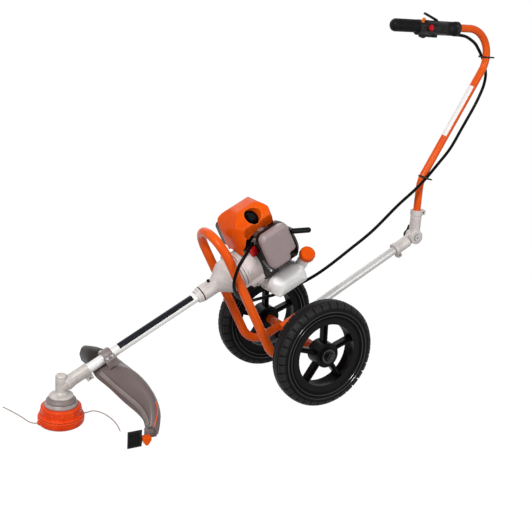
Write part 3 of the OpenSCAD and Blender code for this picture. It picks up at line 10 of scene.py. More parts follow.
import bpy
from mathutils import Matrix, Vector


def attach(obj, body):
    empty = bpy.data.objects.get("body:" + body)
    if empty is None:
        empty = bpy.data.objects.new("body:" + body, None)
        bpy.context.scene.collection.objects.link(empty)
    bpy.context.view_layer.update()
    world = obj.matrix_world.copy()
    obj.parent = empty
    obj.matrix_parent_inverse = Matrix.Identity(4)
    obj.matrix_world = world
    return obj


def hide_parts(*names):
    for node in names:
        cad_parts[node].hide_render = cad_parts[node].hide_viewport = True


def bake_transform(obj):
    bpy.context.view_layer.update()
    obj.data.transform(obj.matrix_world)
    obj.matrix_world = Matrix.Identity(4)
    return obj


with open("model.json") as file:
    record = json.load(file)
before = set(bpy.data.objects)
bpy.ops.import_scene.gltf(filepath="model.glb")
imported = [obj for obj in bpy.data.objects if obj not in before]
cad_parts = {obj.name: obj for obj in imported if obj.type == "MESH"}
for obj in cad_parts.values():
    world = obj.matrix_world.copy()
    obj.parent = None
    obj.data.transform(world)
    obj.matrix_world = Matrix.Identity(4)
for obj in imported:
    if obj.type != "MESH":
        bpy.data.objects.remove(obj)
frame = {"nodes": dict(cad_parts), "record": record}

log = logging.getLogger("trimmer")

Point = tuple[float, float, float]
Flat = tuple[float, float]
Piece = bpy.types.Object
Tree = bpy.types.NodeTree
Socket = bpy.types.NodeSocket

# Sizes are metres, unless a name ends in mm, px or deg
MM = 0.001
TURN = 2 * math.pi
WHITE = (1, 1, 1, 1)
# The drive tube climbs from the head's axis, at this height and slope
TUBE_Z = 0.1
SLOPE = math.radians(28)
# Frame of the drive tube: X climbs along the tube, Z is square to it
TUBE_FRAME = Matrix.Translation((0, 0, TUBE_Z)) @ Matrix.Rotation(-SLOPE, 4, "Y")
# Turns a piece that was drawn lying on its back so that it faces the left side of the machine
FACE_LEFT = Matrix.Rotation(math.radians(90), 4, "X")
# Lays a piece that was turned about Z along X
ALONG_X = Matrix.Rotation(math.radians(90), 4, "Y")
# Points nearer to each other than this are one point
MERGE = 0.00001
# Edges flatter than this are shaded smooth, on pieces with edges and on round strands
SMOOTH = math.radians(40)
STRAND_SMOOTH = math.radians(50)
# A face looks along Z where its normal has more than this share of it
FACING = 0.9
# Thickness of the films on the tube and the handlebar
FILM_T = 0.0003
# Where the drift's noise turns from a finish's shade to its main tone
DRIFT_SPAN = (0.3, 0.62)
# Pointiness of an edge from where its paler tone of wear and painted highlight starts to where it is full,
# and how much of that tone it takes
CREST_SPAN = (0.51, 0.56)
CREST_SHARE = 0.75
# Size of the gloss's blotches by the drift's, and depth of the grain by its width
WEAR_SHARE = 0.4
BUMP_SHARE = 0.5
# Rounding of a ribbon's edges by its thickness
RIBBON_ROUND = 0.3


# Materials

def linear(code: str) -> tuple[float, float, float, float]:
    """Turns an sRGB hex code into linear colour.

    Args:
        code: six hex digits, with or without a leading mark.

    Returns:
        Red, green, blue and alpha for a shader socket.
    """
    digits = code.lstrip("#")
    shares = [int(digits[i:i + 2], 16) / 255 for i in (0, 2, 4)]
    parts = [c / 12.92 if c <= 0.04045 else ((c + 0.055) / 1.055) ** 2.4 for c in shares]
    return (parts[0], parts[1], parts[2], 1.0)


def add_node(tree: Tree, kind: str, settings: dict[Any, Any] | None = None,
             links: dict[Any, Any] | None = None) -> bpy.types.Node:
    """Adds one shader node with its settings and links.

    Args:
        tree: node tree that the node goes into.
        kind: Blender's type name of the node.
        settings: properties by name, and input values by name or number.
        links: sockets that feed the inputs, by input name or number.

    Returns:
        The new node.
    """
    node = tree.nodes.new(kind)
    for key, value in (settings or {}).items():
        if isinstance(key, str) and key in node.bl_rna.properties:
            setattr(node, key, value)
        else:
            node.inputs[key].default_value = value
    for key, socket in (links or {}).items():
        tree.links.new(socket, node.inputs[key])
    return node


def noise(tree: Tree, place: Socket, size: float, detail: float) -> Socket:
    """Gives soft noise whose blotches have a real size."""
    settings = {"Scale": 1 / size, "Detail": detail}
    return add_node(tree, "ShaderNodeTexNoise", settings, {"Vector": place}).outputs["Fac"]


def worked_out(tree: Tree, operation: str, first: Socket, second: Socket | float = 0.0) -> Socket:
    """Works out one operation.

    Args:
        tree: node tree of the material.
        operation: Blender's name of the operation.
        first: socket that it works on.
        second: socket or number that it takes next, where it takes two.

    Returns:
        The socket of the result.
    """
    node = add_node(tree, "ShaderNodeMath", {"operation": operation}, {0: first})
    if isinstance(second, Socket):
        tree.links.new(second, node.inputs[1])
    else:
        node.inputs[1].default_value = second
    return node.outputs[0]


def remap(tree: Tree, value: Socket, given: Flat, result: Flat, curve: str = "LINEAR") -> Socket:
    """Maps one span of values to another and holds its ends.

    Args:
        tree: node tree of the material.
        value: socket to map.
        given: span of the value.
        result: span of the result.
        curve: Blender's name of the curve between the ends.

    Returns:
        The socket of the result.
    """
    settings = {"interpolation_type": curve, "From Min": given[0], "From Max": given[1],
                "To Min": result[0], "To Max": result[1]}
    return add_node(tree, "ShaderNodeMapRange", settings, {"Value": value}).outputs["Result"]


def painted_over(tree: Tree, base: Socket, code: str, share: Socket) -> Socket:
    """Gives a colour with a second tone laid over a share of it."""
    links = {"Fac": share, "Color1": base}
    return add_node(tree, "ShaderNodeMixRGB", {"Color2": linear(code)}, links).outputs["Color"]


def along_tube(tree: Tree, place: Socket, shift: Point = (0, 0, 0)) -> Socket:
    """Gives places as the drive tube sees them: X climbs along the tube, Z is square to it."""
    settings = {"Rotation": (0, SLOPE, 0), "Location": shift}
    return add_node(tree, "ShaderNodeMapping", settings, {"Vector": place}).outputs["Vector"]


def mixed(tree: Tree, share: Socket, first: bpy.types.Node, second: bpy.types.Node) -> Socket:
    """Gives two shaders mixed by the share of the second."""
    links = {0: share, 1: first.outputs[0], 2: second.outputs[0]}
    return add_node(tree, "ShaderNodeMixShader", links=links).outputs[0]


def split_axes(tree: Tree, place: Socket) -> bpy.types.NodeOutputs:
    """Gives the three coordinates of a place, by the names X, Y and Z."""
    return add_node(tree, "ShaderNodeSeparateXYZ", links={"Vector": place}).outputs


@dataclass(frozen=True)
class Finish:
    """A moulded, cast or painted surface: slow colour drift, fine grain and an uneven gloss.

    The drift and the grain are sizes in millimetres on the real surface. A paler tone along the outer
    edges stands for wear, where hands and cloths polish them, and is also a painted edge highlight.
    """

    name: str
    colour: str
    shade: str
    roughness: float
    metallic: float = 0.0
    specular: float = 0.5
    drift_mm: float = 40.0
    grain_mm: float = 1.2
    grain: float = 0.08
    uneven: float = 0.06
    edge_wear_and_highlight: str = ""

    def pattern(self, tree: Tree, place: Socket) -> Socket:
        """Gives the height that the bump reads: even fine grain."""
        return noise(tree, place, self.grain_mm * MM, detail=3.0)

    def tint(self, tree: Tree, place: Socket) -> Socket:
        """Gives the colour: the main tone drifting slowly to its shade, and paler along the edges, for wear
        and as a painted highlight.

        Args:
            tree: node tree of the material.
            place: socket of the place on the piece.

        Returns:
            The socket of the colour.
        """
        drift = noise(tree, place, self.drift_mm * MM, detail=4.0)
        ramp = add_node(tree, "ShaderNodeValToRGB", links={"Fac": drift})
        for stop, position, code in zip(ramp.color_ramp.elements, DRIFT_SPAN, (self.shade, self.colour)):
            stop.position = position
            stop.color = linear(code)
        if not self.edge_wear_and_highlight:
            return ramp.outputs["Color"]
        # Convex edges take the paler tone: wear, and a painted edge highlight
        crest = add_node(tree, "ShaderNodeNewGeometry").outputs["Pointiness"]
        worn = remap(tree, crest, CREST_SPAN, (0.0, CREST_SHARE))
        return painted_over(tree, ramp.outputs["Color"], self.edge_wear_and_highlight, worn)

    def dress(self, shader: bpy.types.Node) -> None:
        """Sets what only some finishes have; the plain finish has nothing more."""

    def material(self) -> bpy.types.Material:
        """Returns the node material of this finish, made once."""
        made = bpy.data.materials.get(self.name)
        if made:
            return made
        made = bpy.data.materials.new(self.name)
        made.use_nodes = True
        made.diffuse_color = linear(self.colour)
        tree = made.node_tree
        shader = tree.nodes["Principled BSDF"]
        shader.inputs["Metallic"].default_value = self.metallic
        shader.inputs["Specular IOR Level"].default_value = self.specular
        place = add_node(tree, "ShaderNodeTexCoord").outputs["Object"]
        tree.links.new(self.tint(tree, place), shader.inputs["Base Color"])
        worn = noise(tree, place, self.drift_mm * WEAR_SHARE * MM, detail=5.0)
        gloss = remap(tree, worn, (0.0, 1.0), (self.roughness - self.uneven, self.roughness + self.uneven))
        tree.links.new(gloss, shader.inputs["Roughness"])
        bump = add_node(tree, "ShaderNodeBump", {"Strength": self.grain,
                        "Distance": self.grain_mm * MM * BUMP_SHARE}, {"Height": self.pattern(tree, place)})
        tree.links.new(bump.outputs["Normal"], shader.inputs["Normal"])
        self.dress(shader)
        return made


@dataclass(frozen=True)
class DrawnTube(Finish):
    """Drawn aluminium: fine lines run along the tube, stretched over a few centimetres."""

    stretch: float = 0.01

    def pattern(self, tree: Tree, place: Socket) -> Socket:
        """Gives lines along the tube's own direction.

        Args:
            tree: node tree of the material.
            place: socket of the place on the piece.

        Returns:
            The socket of the height.
        """
        longer = add_node(tree, "ShaderNodeMapping", {"Scale": (self.stretch, 1, 1)},
                          {"Vector": along_tube(tree, place)})
        return noise(tree, longer.outputs["Vector"], self.grain_mm * MM, detail=2.0)


@dataclass(frozen=True)
class TankPlastic(Finish):
    """Blow-moulded polyethylene: milky, with a parting seam and light that spreads under the skin.

    The seam lies at a height square to the drive tube. It is as high as several grains, even in its
    core and gone at its edge.
    """

    seam_h: float = -0.091
    seam_core: float = 0.0004
    seam_edge: float = 0.0016
    seam_rise: float = 6.0
    spread: float = 0.2
    spread_rgb: Point = (1.0, 0.9, 0.8)
    spread_depth: float = 0.004

    def pattern(self, tree: Tree, place: Socket) -> Socket:
        """Gives the mould's fine grain and the raised seam round the middle of the tank.

        Args:
            tree: node tree of the material.
            place: socket of the place on the piece.

        Returns:
            The socket of the height.
        """
        level = along_tube(tree, place, (0, 0, -self.seam_h - TUBE_Z * math.cos(SLOPE)))
        off = worked_out(tree, "ABSOLUTE", split_axes(tree, level)["Z"])
        ridge = remap(tree, off, (self.seam_core, self.seam_edge), (self.seam_rise, 0.0), "SMOOTHSTEP")
        return worked_out(tree, "ADD", super().pattern(tree, place), ridge)

    def dress(self, shader: bpy.types.Node) -> None:
        """Lets light spread a few millimetres inside the wall."""
        shader.inputs["Subsurface Weight"].default_value = self.spread
        shader.inputs["Subsurface Radius"].default_value = self.spread_rgb
        shader.inputs["Subsurface Scale"].default_value = self.spread_depth


@dataclass(frozen=True)
class BraidedCord(Finish):
    """A braided or drawn strand: bands round the strand every few millimetres."""

    band_turn: float = 6.28
    unrest: float = 2.0

    def pattern(self, tree: Tree, place: Socket) -> Socket:
        """Gives bands across the strand, drawn coarse enough to show.

        Args:
            tree: node tree of the material.
            place: socket of the place on the piece.

        Returns:
            The socket of the height.
        """
        bands = add_node(tree, "ShaderNodeTexWave", {"Scale": 1 / (self.grain_mm * MM * self.band_turn),
                         "Distortion": self.unrest, "bands_direction": "DIAGONAL"}, {"Vector": place})
        return bands.outputs["Fac"]


@dataclass(frozen=True)
class TyreRubber(Finish):
    """Moulded rubber: fine mould rings round the axle and a dry tread, paler with dust and painted glints.
    """

    axle: Flat = (0.677, 0.150)
    ring_mm: float = 3.0
    # Between these radii the tread turns paler: dust, and painted glints on its edges
    tread_r: float = 0.143
    dust_and_glint_r: float = 0.149
    dust_and_glint: str = "#232122"
    dust_and_glint_share: float = 0.6

    def reach(self, tree: Tree, place: Socket) -> Socket:
        """Gives the distance from the axle.

        Args:
            tree: node tree of the material.
            place: socket of the place on the piece.

        Returns:
            The socket of the distance.
        """
        spoke = add_node(tree, "ShaderNodeMapping", {"Scale": (1, 0, 1),
                         "Location": (-self.axle[0], 0, -self.axle[1])}, {"Vector": place})
        return add_node(tree, "ShaderNodeVectorMath", {"operation": "LENGTH"},
                        {0: spoke.outputs["Vector"]}).outputs["Value"]

    def pattern(self, tree: Tree, place: Socket) -> Socket:
        """Gives rings every few millimetres over the fine grain."""
        turns = worked_out(tree, "MULTIPLY", self.reach(tree, place), TURN / (self.ring_mm * MM))
        return worked_out(tree, "ADD", worked_out(tree, "SINE", turns), super().pattern(tree, place))

    def tint(self, tree: Tree, place: Socket) -> Socket:
        """Gives the colour, paler where the tread runs on the ground: dust, and painted glints.

        Args:
            tree: node tree of the material.
            place: socket of the place on the piece.

        Returns:
            The socket of the colour.
        """
        plain = super().tint(tree, place)
        out = remap(tree, self.reach(tree, place), (self.tread_r, self.dust_and_glint_r), (0.0, self.dust_and_glint_share))
        return painted_over(tree, plain, self.dust_and_glint, out)


@dataclass(frozen=True)
class PlatedScrews(Finish):
    """Zinc-plated screws, with the wheel nuts on the axle's ends dark."""

    nuts_past: float = 0.125
    black: str = "#343335"

    def tint(self, tree: Tree, place: Socket) -> Socket:
        """Gives the zinc's colour, and the dark tone outside the wheels' hubs.

        Args:
            tree: node tree of the material.
            place: socket of the place on the piece.

        Returns:
            The socket of the colour.
        """
        plain = super().tint(tree, place)
        far = worked_out(tree, "ABSOLUTE", split_axes(tree, place)["Y"])
        return painted_over(tree, plain, self.black, worked_out(tree, "GREATER_THAN", far, self.nuts_past))


@dataclass(frozen=True)
class SplitFinish(Finish):
    """A surface of two tones, parted by a plane: the second tone shows below it along one axis.

    The axis is X, Y or Z of the machine, or S along the drive tube. Clouds darken and lighten both tones.
    """

    axis: str = "Y"
    below: float = 0.0
    fade: float = 0.0006
    other: str = "#141314"
    clouds: Flat = (0.84, 1.12)

    def tint(self, tree: Tree, place: Socket) -> Socket:
        """Gives the main tone, and the other one past the plane, both drifting a little.

        Args:
            tree: node tree of the material.
            place: socket of the place on the piece.

        Returns:
            The socket of the colour.
        """
        plain = super().tint(tree, place)
        axis = self.axis
        if axis == "S":
            axis = "X"
            place = along_tube(tree, place, (-TUBE_Z * math.sin(SLOPE), 0, 0))
        past = remap(tree, split_axes(tree, place)[axis], (self.below - self.fade, self.below), (1.0, 0.0))
        both = painted_over(tree, plain, self.other, past)
        level = remap(tree, noise(tree, place, self.drift_mm * MM, detail=4.0), (0.0, 1.0), self.clouds)
        drift = add_node(tree, "ShaderNodeMixRGB", {"blend_type": "MULTIPLY", "Fac": 1.0},
                         {"Color1": both, "Color2": level})
        return drift.outputs["Color"]


class Look(Enum):
    """The finishes of this machine, each named for the real material."""

    # Die-cast aluminium: pale warm grey, grainy skin, soft sheen, brighter along its edges with wear and
    # painted highlight
    CAST = Finish("die_cast_aluminium", "#D2CBC8", "#BEB6B2", 0.42, 0.12, specular=0.3, drift_mm=30,
                  grain_mm=1.5, grain=0.2, edge_wear_and_highlight="#EAE6E4")
    # Crankcase: sand-cast front half of a warm grey; the rear half is dark as painted shade for the gap
    # towards the black starter
    SAND = SplitFinish("sand_cast_crankcase", "#332E2E", "#262222", 0.46, 0.12, specular=0.25, drift_mm=24,
                       grain_mm=1.6, grain=0.3, axis="S", below=0.599, other="#D6C9C6")
    # The gear case is cast the same way, bead blasted, darker in a ring round its foot: partly a darker
    # flange band, partly painted shade
    CASE = SplitFinish("bead_blasted_gear_case", "#C8C1BC", "#B1A9A4", 0.44, 0.12, specular=0.3, drift_mm=26,
                       grain_mm=1.5, grain=0.22, edge_wear_and_highlight="#E2DEDB", axis="Z", below=0.0765, other="#837774")
    # Grey stove enamel of the flange under the gear case
    FLANGE = Finish("grey_enamelled_flange", "#A69B98", "#8B807E", 0.4, 0.1, specular=0.3, drift_mm=24,
                    grain_mm=1.6, grain=0.12, edge_wear_and_highlight="#C4BCBA")
    # Ground steel: bright and even
    STEEL = Finish("ground_steel", "#B9BBBD", "#9C9EA1", 0.3, 1.0, drift_mm=12, grain_mm=0.8, grain=0.1)
    # Blackened axle steel: dark, with a dull metal sheen
    AXLE = Finish("blackened_axle_steel", "#2E2E30", "#1E1E20", 0.35, 0.6, drift_mm=10, grain_mm=1.0,
                  grain=0.12)
    # Black stove paint on the cylinder's fins: dull and rough; the black also paints the shade inside the
    # shroud's opening
    FINS = Finish("black_painted_fins", "#1C1B1C", "#121112", 0.5, 0.1, specular=0.15, drift_mm=16,
                  grain_mm=1.4, grain=0.2)
    # Zinc-plated screws: cool and bright, black at the wheels
    ZINC = PlatedScrews("zinc_plated_screws", "#CFD0D2", "#A9ABAE", 0.28, 0.9, drift_mm=6, grain_mm=0.8,
                        grain=0.15)
    # Drawn aluminium tube: bright with fine lines along it
    TUBE = DrawnTube("drawn_aluminium_tube", "#E9E8E6", "#DFDDDB", 0.26, 0.2, specular=0.3, drift_mm=60,
                     grain_mm=1.6, grain=0.03, uneven=0.03)
    # The rear tube is the same metal, greyer, so that it stands out from a white ground; the grey paints the
    # darker reflections along it
    REAR = DrawnTube("drawn_grey_rear_tube", "#C6C5C3", "#BAB8B6", 0.24, 0.2, specular=0.3, drift_mm=60,
                     grain_mm=1.6, grain=0.03, uneven=0.03)
    # Glossy ABS: saturated orange with sharp highlights
    ABS = Finish("glossy_orange_abs", "#EA5A0C", "#E24E08", 0.14, specular=0.04, drift_mm=70, grain_mm=2.0,
                 grain=0.02, edge_wear_and_highlight="#F47A30")
    # Powder coat on steel tube: the same orange with a faint orange peel
    PAINT = Finish("orange_powder_coat", "#EB5C10", "#E3500B", 0.22, specular=0.12, drift_mm=60,
                   grain_mm=2.5, grain=0.05)
    # Glass-filled nylon of the line head: redder and drier
    NYLON = Finish("red_orange_nylon", "#E84714", "#D9380C", 0.32, specular=0.1, drift_mm=30, grain_mm=1.4,
                   edge_wear_and_highlight="#F4693C")
    # Polypropylene guard: warm taupe with a satin skin, darker on its far end as painted shade
    GUARD = SplitFinish("taupe_polypropylene", "#2A201D", "#211815", 0.36, specular=0.2, drift_mm=60,
                        grain_mm=1.6, grain=0.1, below=0.038, fade=0.02, other="#6E615F")
    # Raised lip of the guard: the same plastic, paler as a painted highlight along it
    LIP = Finish("rubbed_polypropylene_lip", "#8F8381", "#80746F", 0.34, specular=0.25, grain_mm=1.6)
    # The guard's clamp: the same tone, painted on metal
    CLAMP = Finish("taupe_painted_clamp", "#877B78", "#6E6361", 0.4, 0.1, specular=0.3, drift_mm=20,
                   grain_mm=1.4, grain=0.15, edge_wear_and_highlight="#B0A6A3")
    # Filter cover: the same family, paler and smoother
    COVER = Finish("warm_grey_filter_abs", "#9A8889", "#907F80", 0.34, specular=0.25, drift_mm=50,
                   grain_mm=1.6, grain=0.07, edge_wear_and_highlight="#AFA1A0")
    # Milky tank: white, with a soft glow in its edges and a seam round its middle
    TANK = TankPlastic("milky_polyethylene", "#FAF9F8", "#F1EFEC", 0.3, specular=0.35, grain_mm=2.0,
                       grain=0.04)
    # Black ABS controls: dark with a soft sheen
    BLACK = Finish("black_abs", "#121113", "#0B0A0C", 0.36, specular=0.1, drift_mm=20, grain=0.12,
                   edge_wear_and_highlight="#29282A")
    # Soft rubber of the front grip: black and dry, with a coarser grain
    RUBBER = Finish("black_grip_rubber", "#111012", "#0A090B", 0.45, specular=0.1, drift_mm=20, grain=0.2)
    # Boot on the spark plug and the starter's pull: deep black with sharp highlights
    BOOT = Finish("glossy_black_moulding", "#0B0A0D", "#060508", 0.14, specular=0.1, drift_mm=14, grain=0.05)
    # Tyre rubber: deep black, dry, paler on the tread with dust and painted glints, and on the lugs' edges
    # with the painted edge highlight
    TYRE = TyreRubber("moulded_tyre_rubber", "#080808", "#050405", 0.4, specular=0.05, drift_mm=45,
                      grain_mm=1.6, grain=0.1, edge_wear_and_highlight="#343334")
    # Smooth moulded rings on the tyre's sides and the hub: shinier than the tread
    RING = TyreRubber("polished_tyre_ring", "#232223", "#1A191A", 0.16, specular=0.6, drift_mm=45,
                      grain_mm=1.6, grain=0.04)
    # Nylon rims: black, slightly smoother than the tyre
    RIM = Finish("black_rim_nylon", "#080809", "#050506", 0.3, specular=0.06, drift_mm=35, grain_mm=1.4,
                 grain=0.1, edge_wear_and_highlight="#1A191B")
    # Round nylon line: beige with faint bands
    LINE = BraidedCord("drawn_nylon_line", "#A68E7C", "#8F7867", 0.4, specular=0.3, drift_mm=15,
                       grain_mm=4.0, grain=0.04)
    # Cable conduit: black vinyl with fine ribs
    CONDUIT = BraidedCord("vinyl_cable_conduit", "#080709", "#040305", 0.3, specular=0.05, drift_mm=20,
                          grain_mm=2.0, grain=0.1)
    # Starter rope: braided polyester, off-white and dull
    ROPE = BraidedCord("braided_polyester_rope", "#DAD8D2", "#C6C3BC", 0.8, drift_mm=8, grain_mm=1.5,
                       grain=0.4)
    # Muffler steel, coated dark for heat
    MUFFLER = Finish("heat_coated_steel", "#454446", "#353436", 0.5, 0.6, drift_mm=18, grain=0.2)
    # Carburettor casting, darkened as painted shade where it shows under the shroud, on the filter's black
    # back plate, whose black also paints the shade there
    CARB = SplitFinish("carburettor_casting", "#5A5553", "#3F3B3A", 0.4, 0.3, specular=0.3, drift_mm=12,
                       grain_mm=1.4, grain=0.25, edge_wear_and_highlight="#A9A3A0", below=-0.0690)
    # Foam filter: dark and dull, with open cells
    FOAM = Finish("open_cell_foam", "#2A2A2C", "#1A1A1C", 0.95, specular=0.1, drift_mm=8, grain_mm=2.0,
                  grain=0.8)
    # Red moulded plastic: bright and smooth
    RED = Finish("red_moulded_plastic", "#C8101A", "#AE0A12", 0.28, specular=0.2, drift_mm=10, grain=0.05)
    # White label film left bare
    FILM = Finish("white_label_film", "#F4F2EF", "#EFECE8", 0.4, specular=0.2, drift_mm=30, grain_mm=2.0,
                  grain=0.01)
    # Dark strip of film along the tube
    STRIP = Finish("dark_label_film", "#0B0E14", "#141923", 0.24, specular=0.15, drift_mm=30, grain_mm=2.0,
                   grain=0.02)
    # Black rubber seals and paper gaskets, soaked dark; on the crankcase's gasket and the filter's seal the
    # dark also paints shade
    SEAL = Finish("black_seal_rubber", "#161415", "#0E0C0D", 0.5, specular=0.12, drift_mm=12, grain=0.15)

    @property
    def material(self) -> bpy.types.Material:
        """The node material of this finish."""
        return self.value.material()


NODE_LOOKS: dict[Look, tuple[str, ...]] = {
    Look.CASE: ("gear_case",),
    Look.CLAMP: ("guard_bracket",),
    Look.CAST: ("clutch_housing", "flywheel", "lower_joint", "upper_joint"),
    Look.CARB: ("carburettor",),
    Look.FINS: ("engine_cylinder",),
    Look.SAND: ("crankcase",),
    Look.FLANGE: ("head_flange",),
    Look.STEEL: ("bearings", "bevel_gear", "output_spindle", "drive_shaft", "bevel_pinion", "clutch_drum",
                 "clutch_shoes", "crankshaft", "connecting_rod", "spark_plug"),
    Look.AXLE: ("axle",),
    Look.ZINC: ("fasteners",),
    Look.TUBE: ("drive_tube", "piston"),
    Look.REAR: ("rear_tube",),
    Look.NYLON: ("head_housing", "head_cover"),
    Look.GUARD: ("guard",),
    Look.COVER: ("air_filter_cover",),
    Look.ABS: ("engine_shroud", "fuel_cap", "guard_end_cap", "throttle_lock_button"),
    Look.PAINT: ("frame", "handlebar"),
    Look.TANK: ("fuel_tank", "starter_pulley"),
    Look.BLACK: ("line_spool", "line_cutter", "choke_lever", "starter_cover", "clamp_knob", "throttle_grip",
                 "throttle_trigger", "lockoff_lever", "cable_ties", "starter_handle"),
    Look.RUBBER: ("front_grip",),
    Look.BOOT: ("spark_plug_boot",),
    Look.TYRE: ("left_tyre", "right_tyre"),
    Look.RIM: ("left_rim", "right_rim"),
    Look.LINE: ("trimmer_line_front", "trimmer_line_rear"),
    Look.CONDUIT: ("throttle_cable",),
    Look.ROPE: ("starter_rope",),
    Look.MUFFLER: ("muffler",),
    Look.FOAM: ("air_filter_element",),
    Look.RED: ("stop_switch",),
}


# Modelling by hand

def deselect() -> None:
    """Leaves edit mode and clears the selection."""
    if bpy.context.mode != "OBJECT":
        bpy.ops.object.mode_set(mode="OBJECT")
    bpy.ops.object.select_all(action="DESELECT")


def pick(piece: Piece) -> None:
    """Makes one piece the only selected and the active one."""
    deselect()
    piece.select_set(True)
    bpy.context.view_layer.objects.active = piece


def linked(name: str, data: bpy.types.ID) -> Piece:
    """Puts new data into the scene as an object of that name."""
    piece = bpy.data.objects.new(name, data)
    bpy.context.scene.collection.objects.link(piece)
    return piece


@contextmanager
def editing(piece: Piece) -> Iterator[None]:
    """Opens a piece for editing with all of it selected, and closes it again.

    Args:
        piece: object to edit.
    """
    pick(piece)
    bpy.ops.object.mode_set(mode="EDIT")
    bpy.ops.mesh.select_all(action="SELECT")
    yield
    bpy.ops.object.mode_set(mode="OBJECT")


@contextmanager
def editing_faces(piece: Piece, test: Callable[[Vector, Vector], bool]) -> Iterator[None]:
    """Opens a piece for editing with some of its faces selected, and closes it again.

    Args:
        piece: object to edit.
        test: tells by a face's centre and normal whether it is selected.
    """
    pick(piece)
    bpy.ops.object.mode_set(mode="EDIT")
    bpy.ops.mesh.select_mode(type="FACE")
    bpy.ops.mesh.select_all(action="DESELECT")
    bpy.ops.object.mode_set(mode="OBJECT")
    for face in piece.data.polygons:
        face.select = test(face.center, face.normal)
    bpy.ops.object.mode_set(mode="EDIT")
    yield
    bpy.ops.object.mode_set(mode="OBJECT")


def looks_up(centre: Vector, normal: Vector) -> bool:
    """Tells whether a face looks up."""
    return normal.z > FACING


def placed(piece: Piece, place: Matrix) -> Piece:
    """Puts a piece's place into its mesh, so that its object stays at the origin.

    Args:
        piece: object to place.
        place: frame that its own coordinates were meant in.

    Returns:
        The same object.
    """
    pick(piece)
    bpy.ops.object.transform_apply(location=True, rotation=True, scale=True)
    piece.data.transform(place)
    piece.data.update()
    return piece


def rework(piece: Piece, kind: str, **settings: Any) -> None:
    """Adds one modifier to a piece, sets it and applies it.

    Args:
        piece: object to change.
        kind: Blender's type name of the modifier.
        settings: its values by name.
    """
    pick(piece)
    change = piece.modifiers.new(kind.lower(), kind)
    for key, value in settings.items():
        setattr(change, key, value)
    bpy.ops.object.modifier_apply(modifier=change.name)


def ease(piece: Piece, width: float, segments: int = 3, sharp_deg: float = 35.0) -> Piece:
    """Rounds the sharp edges of a piece and shades it smooth up to them.

    Args:
        piece: object to round.
        width: width of the rounding; nothing is cut where it is zero.
        segments: steps of the rounding.
        sharp_deg: edges sharper than this are rounded.

    Returns:
        The same object.
    """
    if width:
        rework(piece, "BEVEL", width=width, segments=segments, limit_method="ANGLE",
               angle_limit=math.radians(sharp_deg))
    pick(piece)
    bpy.ops.object.shade_smooth_by_angle(angle=SMOOTH)
    return piece


def soften(node: str, name: str, voxel_mm: float, passes: int, keep: float = 1.0) -> Piece:
    """Copies a solid and rounds its edges as a mould does.

    Args:
        node: solid to copy.
        name: name of the copy.
        voxel_mm: grid of the new skin.
        passes: how often the skin is smoothed.
        keep: share of the faces that stays.

    Returns:
        The rounded copy.
    """
    piece = linked(name, frame["nodes"][node].data.copy())
    with editing(piece):
        bpy.ops.mesh.remove_doubles(threshold=MERGE)
    rework(piece, "REMESH", mode="VOXEL", voxel_size=voxel_mm * MM)
    rework(piece, "SMOOTH", factor=0.5, iterations=passes)
    if keep < 1:
        rework(piece, "DECIMATE", ratio=keep)
    pick(piece)
    bpy.ops.object.shade_smooth()
    return piece


def copied(node: str, name: str) -> Piece:
    """Copies a solid with thin walls as it is, merged and shaded smooth up to its edges.

    Args:
        node: solid to copy.
        name: name of the copy.

    Returns:
        The copy.
    """
    piece = linked(name, frame["nodes"][node].data.copy())
    with editing(piece):
        bpy.ops.mesh.remove_doubles(threshold=MERGE)
        bpy.ops.mesh.normals_make_consistent(inside=False)
    return ease(piece, 0)


def new_mesh(name: str, points: Sequence[Point], edges: Sequence[tuple[int, int]] = (),
             faces: Sequence[Sequence[int]] = ()) -> Piece:
    """Starts a piece from a few points, edges or faces.

    Args:
        name: name of the piece.
        points: its corners.
        edges: pairs of corners, by number.
        faces: rings of corners, by number.

    Returns:
        The piece.
    """
    data = bpy.data.meshes.new(name)
    data.from_pydata(points, edges, faces)
    return linked(name, data)


def ribbon(name: str, left: Sequence[Vector], right: Sequence[Vector], thick: float) -> Piece:
    """Lays a band with rounded edges between two lines.

    Args:
        name: name of the piece.
        left: points of one edge.
        right: points of the other edge, as many.
        thick: thickness of the band.

    Returns:
        The band.
    """
    count = len(left)
    faces = [(i, i + 1, count + i + 1, count + i) for i in range(count - 1)]
    piece = new_mesh(name, [tuple(p) for p in (*left, *right)], faces=faces)
    with editing(piece):
        bpy.ops.mesh.normals_make_consistent(inside=False)
    rework(piece, "SOLIDIFY", thickness=thick, offset=0.0)
    return ease(piece, thick * RIBBON_ROUND, 2)


def press_in(piece: Piece, first: Point, last: Point, near: float, push: Point, reach: float) -> None:
    """Presses a soft hollow into a piece along a line, as with a hand on warm plastic.

    Args:
        piece: object to press.
        first: start of the line.
        last: end of the line.
        near: vertices this near to the line move all the way.
        push: how far and which way they move.
        reach: how far the hollow fades out.
    """
    pick(piece)
    start, run = Vector(first), Vector(last) - Vector(first)
    bpy.ops.object.mode_set(mode="EDIT")
    bpy.ops.mesh.select_mode(type="VERT")
    bpy.ops.mesh.select_all(action="DESELECT")
    bpy.ops.object.mode_set(mode="OBJECT")
    for corner in piece.data.vertices:
        share = min(1.0, max(0.0, (corner.co - start).dot(run) / run.length_squared))
        corner.select = (corner.co - start - run * share).length < near
    bpy.ops.object.mode_set(mode="EDIT")
    bpy.ops.transform.translate(value=push, use_proportional_edit=True, proportional_edit_falloff="SMOOTH",
                                proportional_size=reach)
    bpy.ops.object.mode_set(mode="OBJECT")


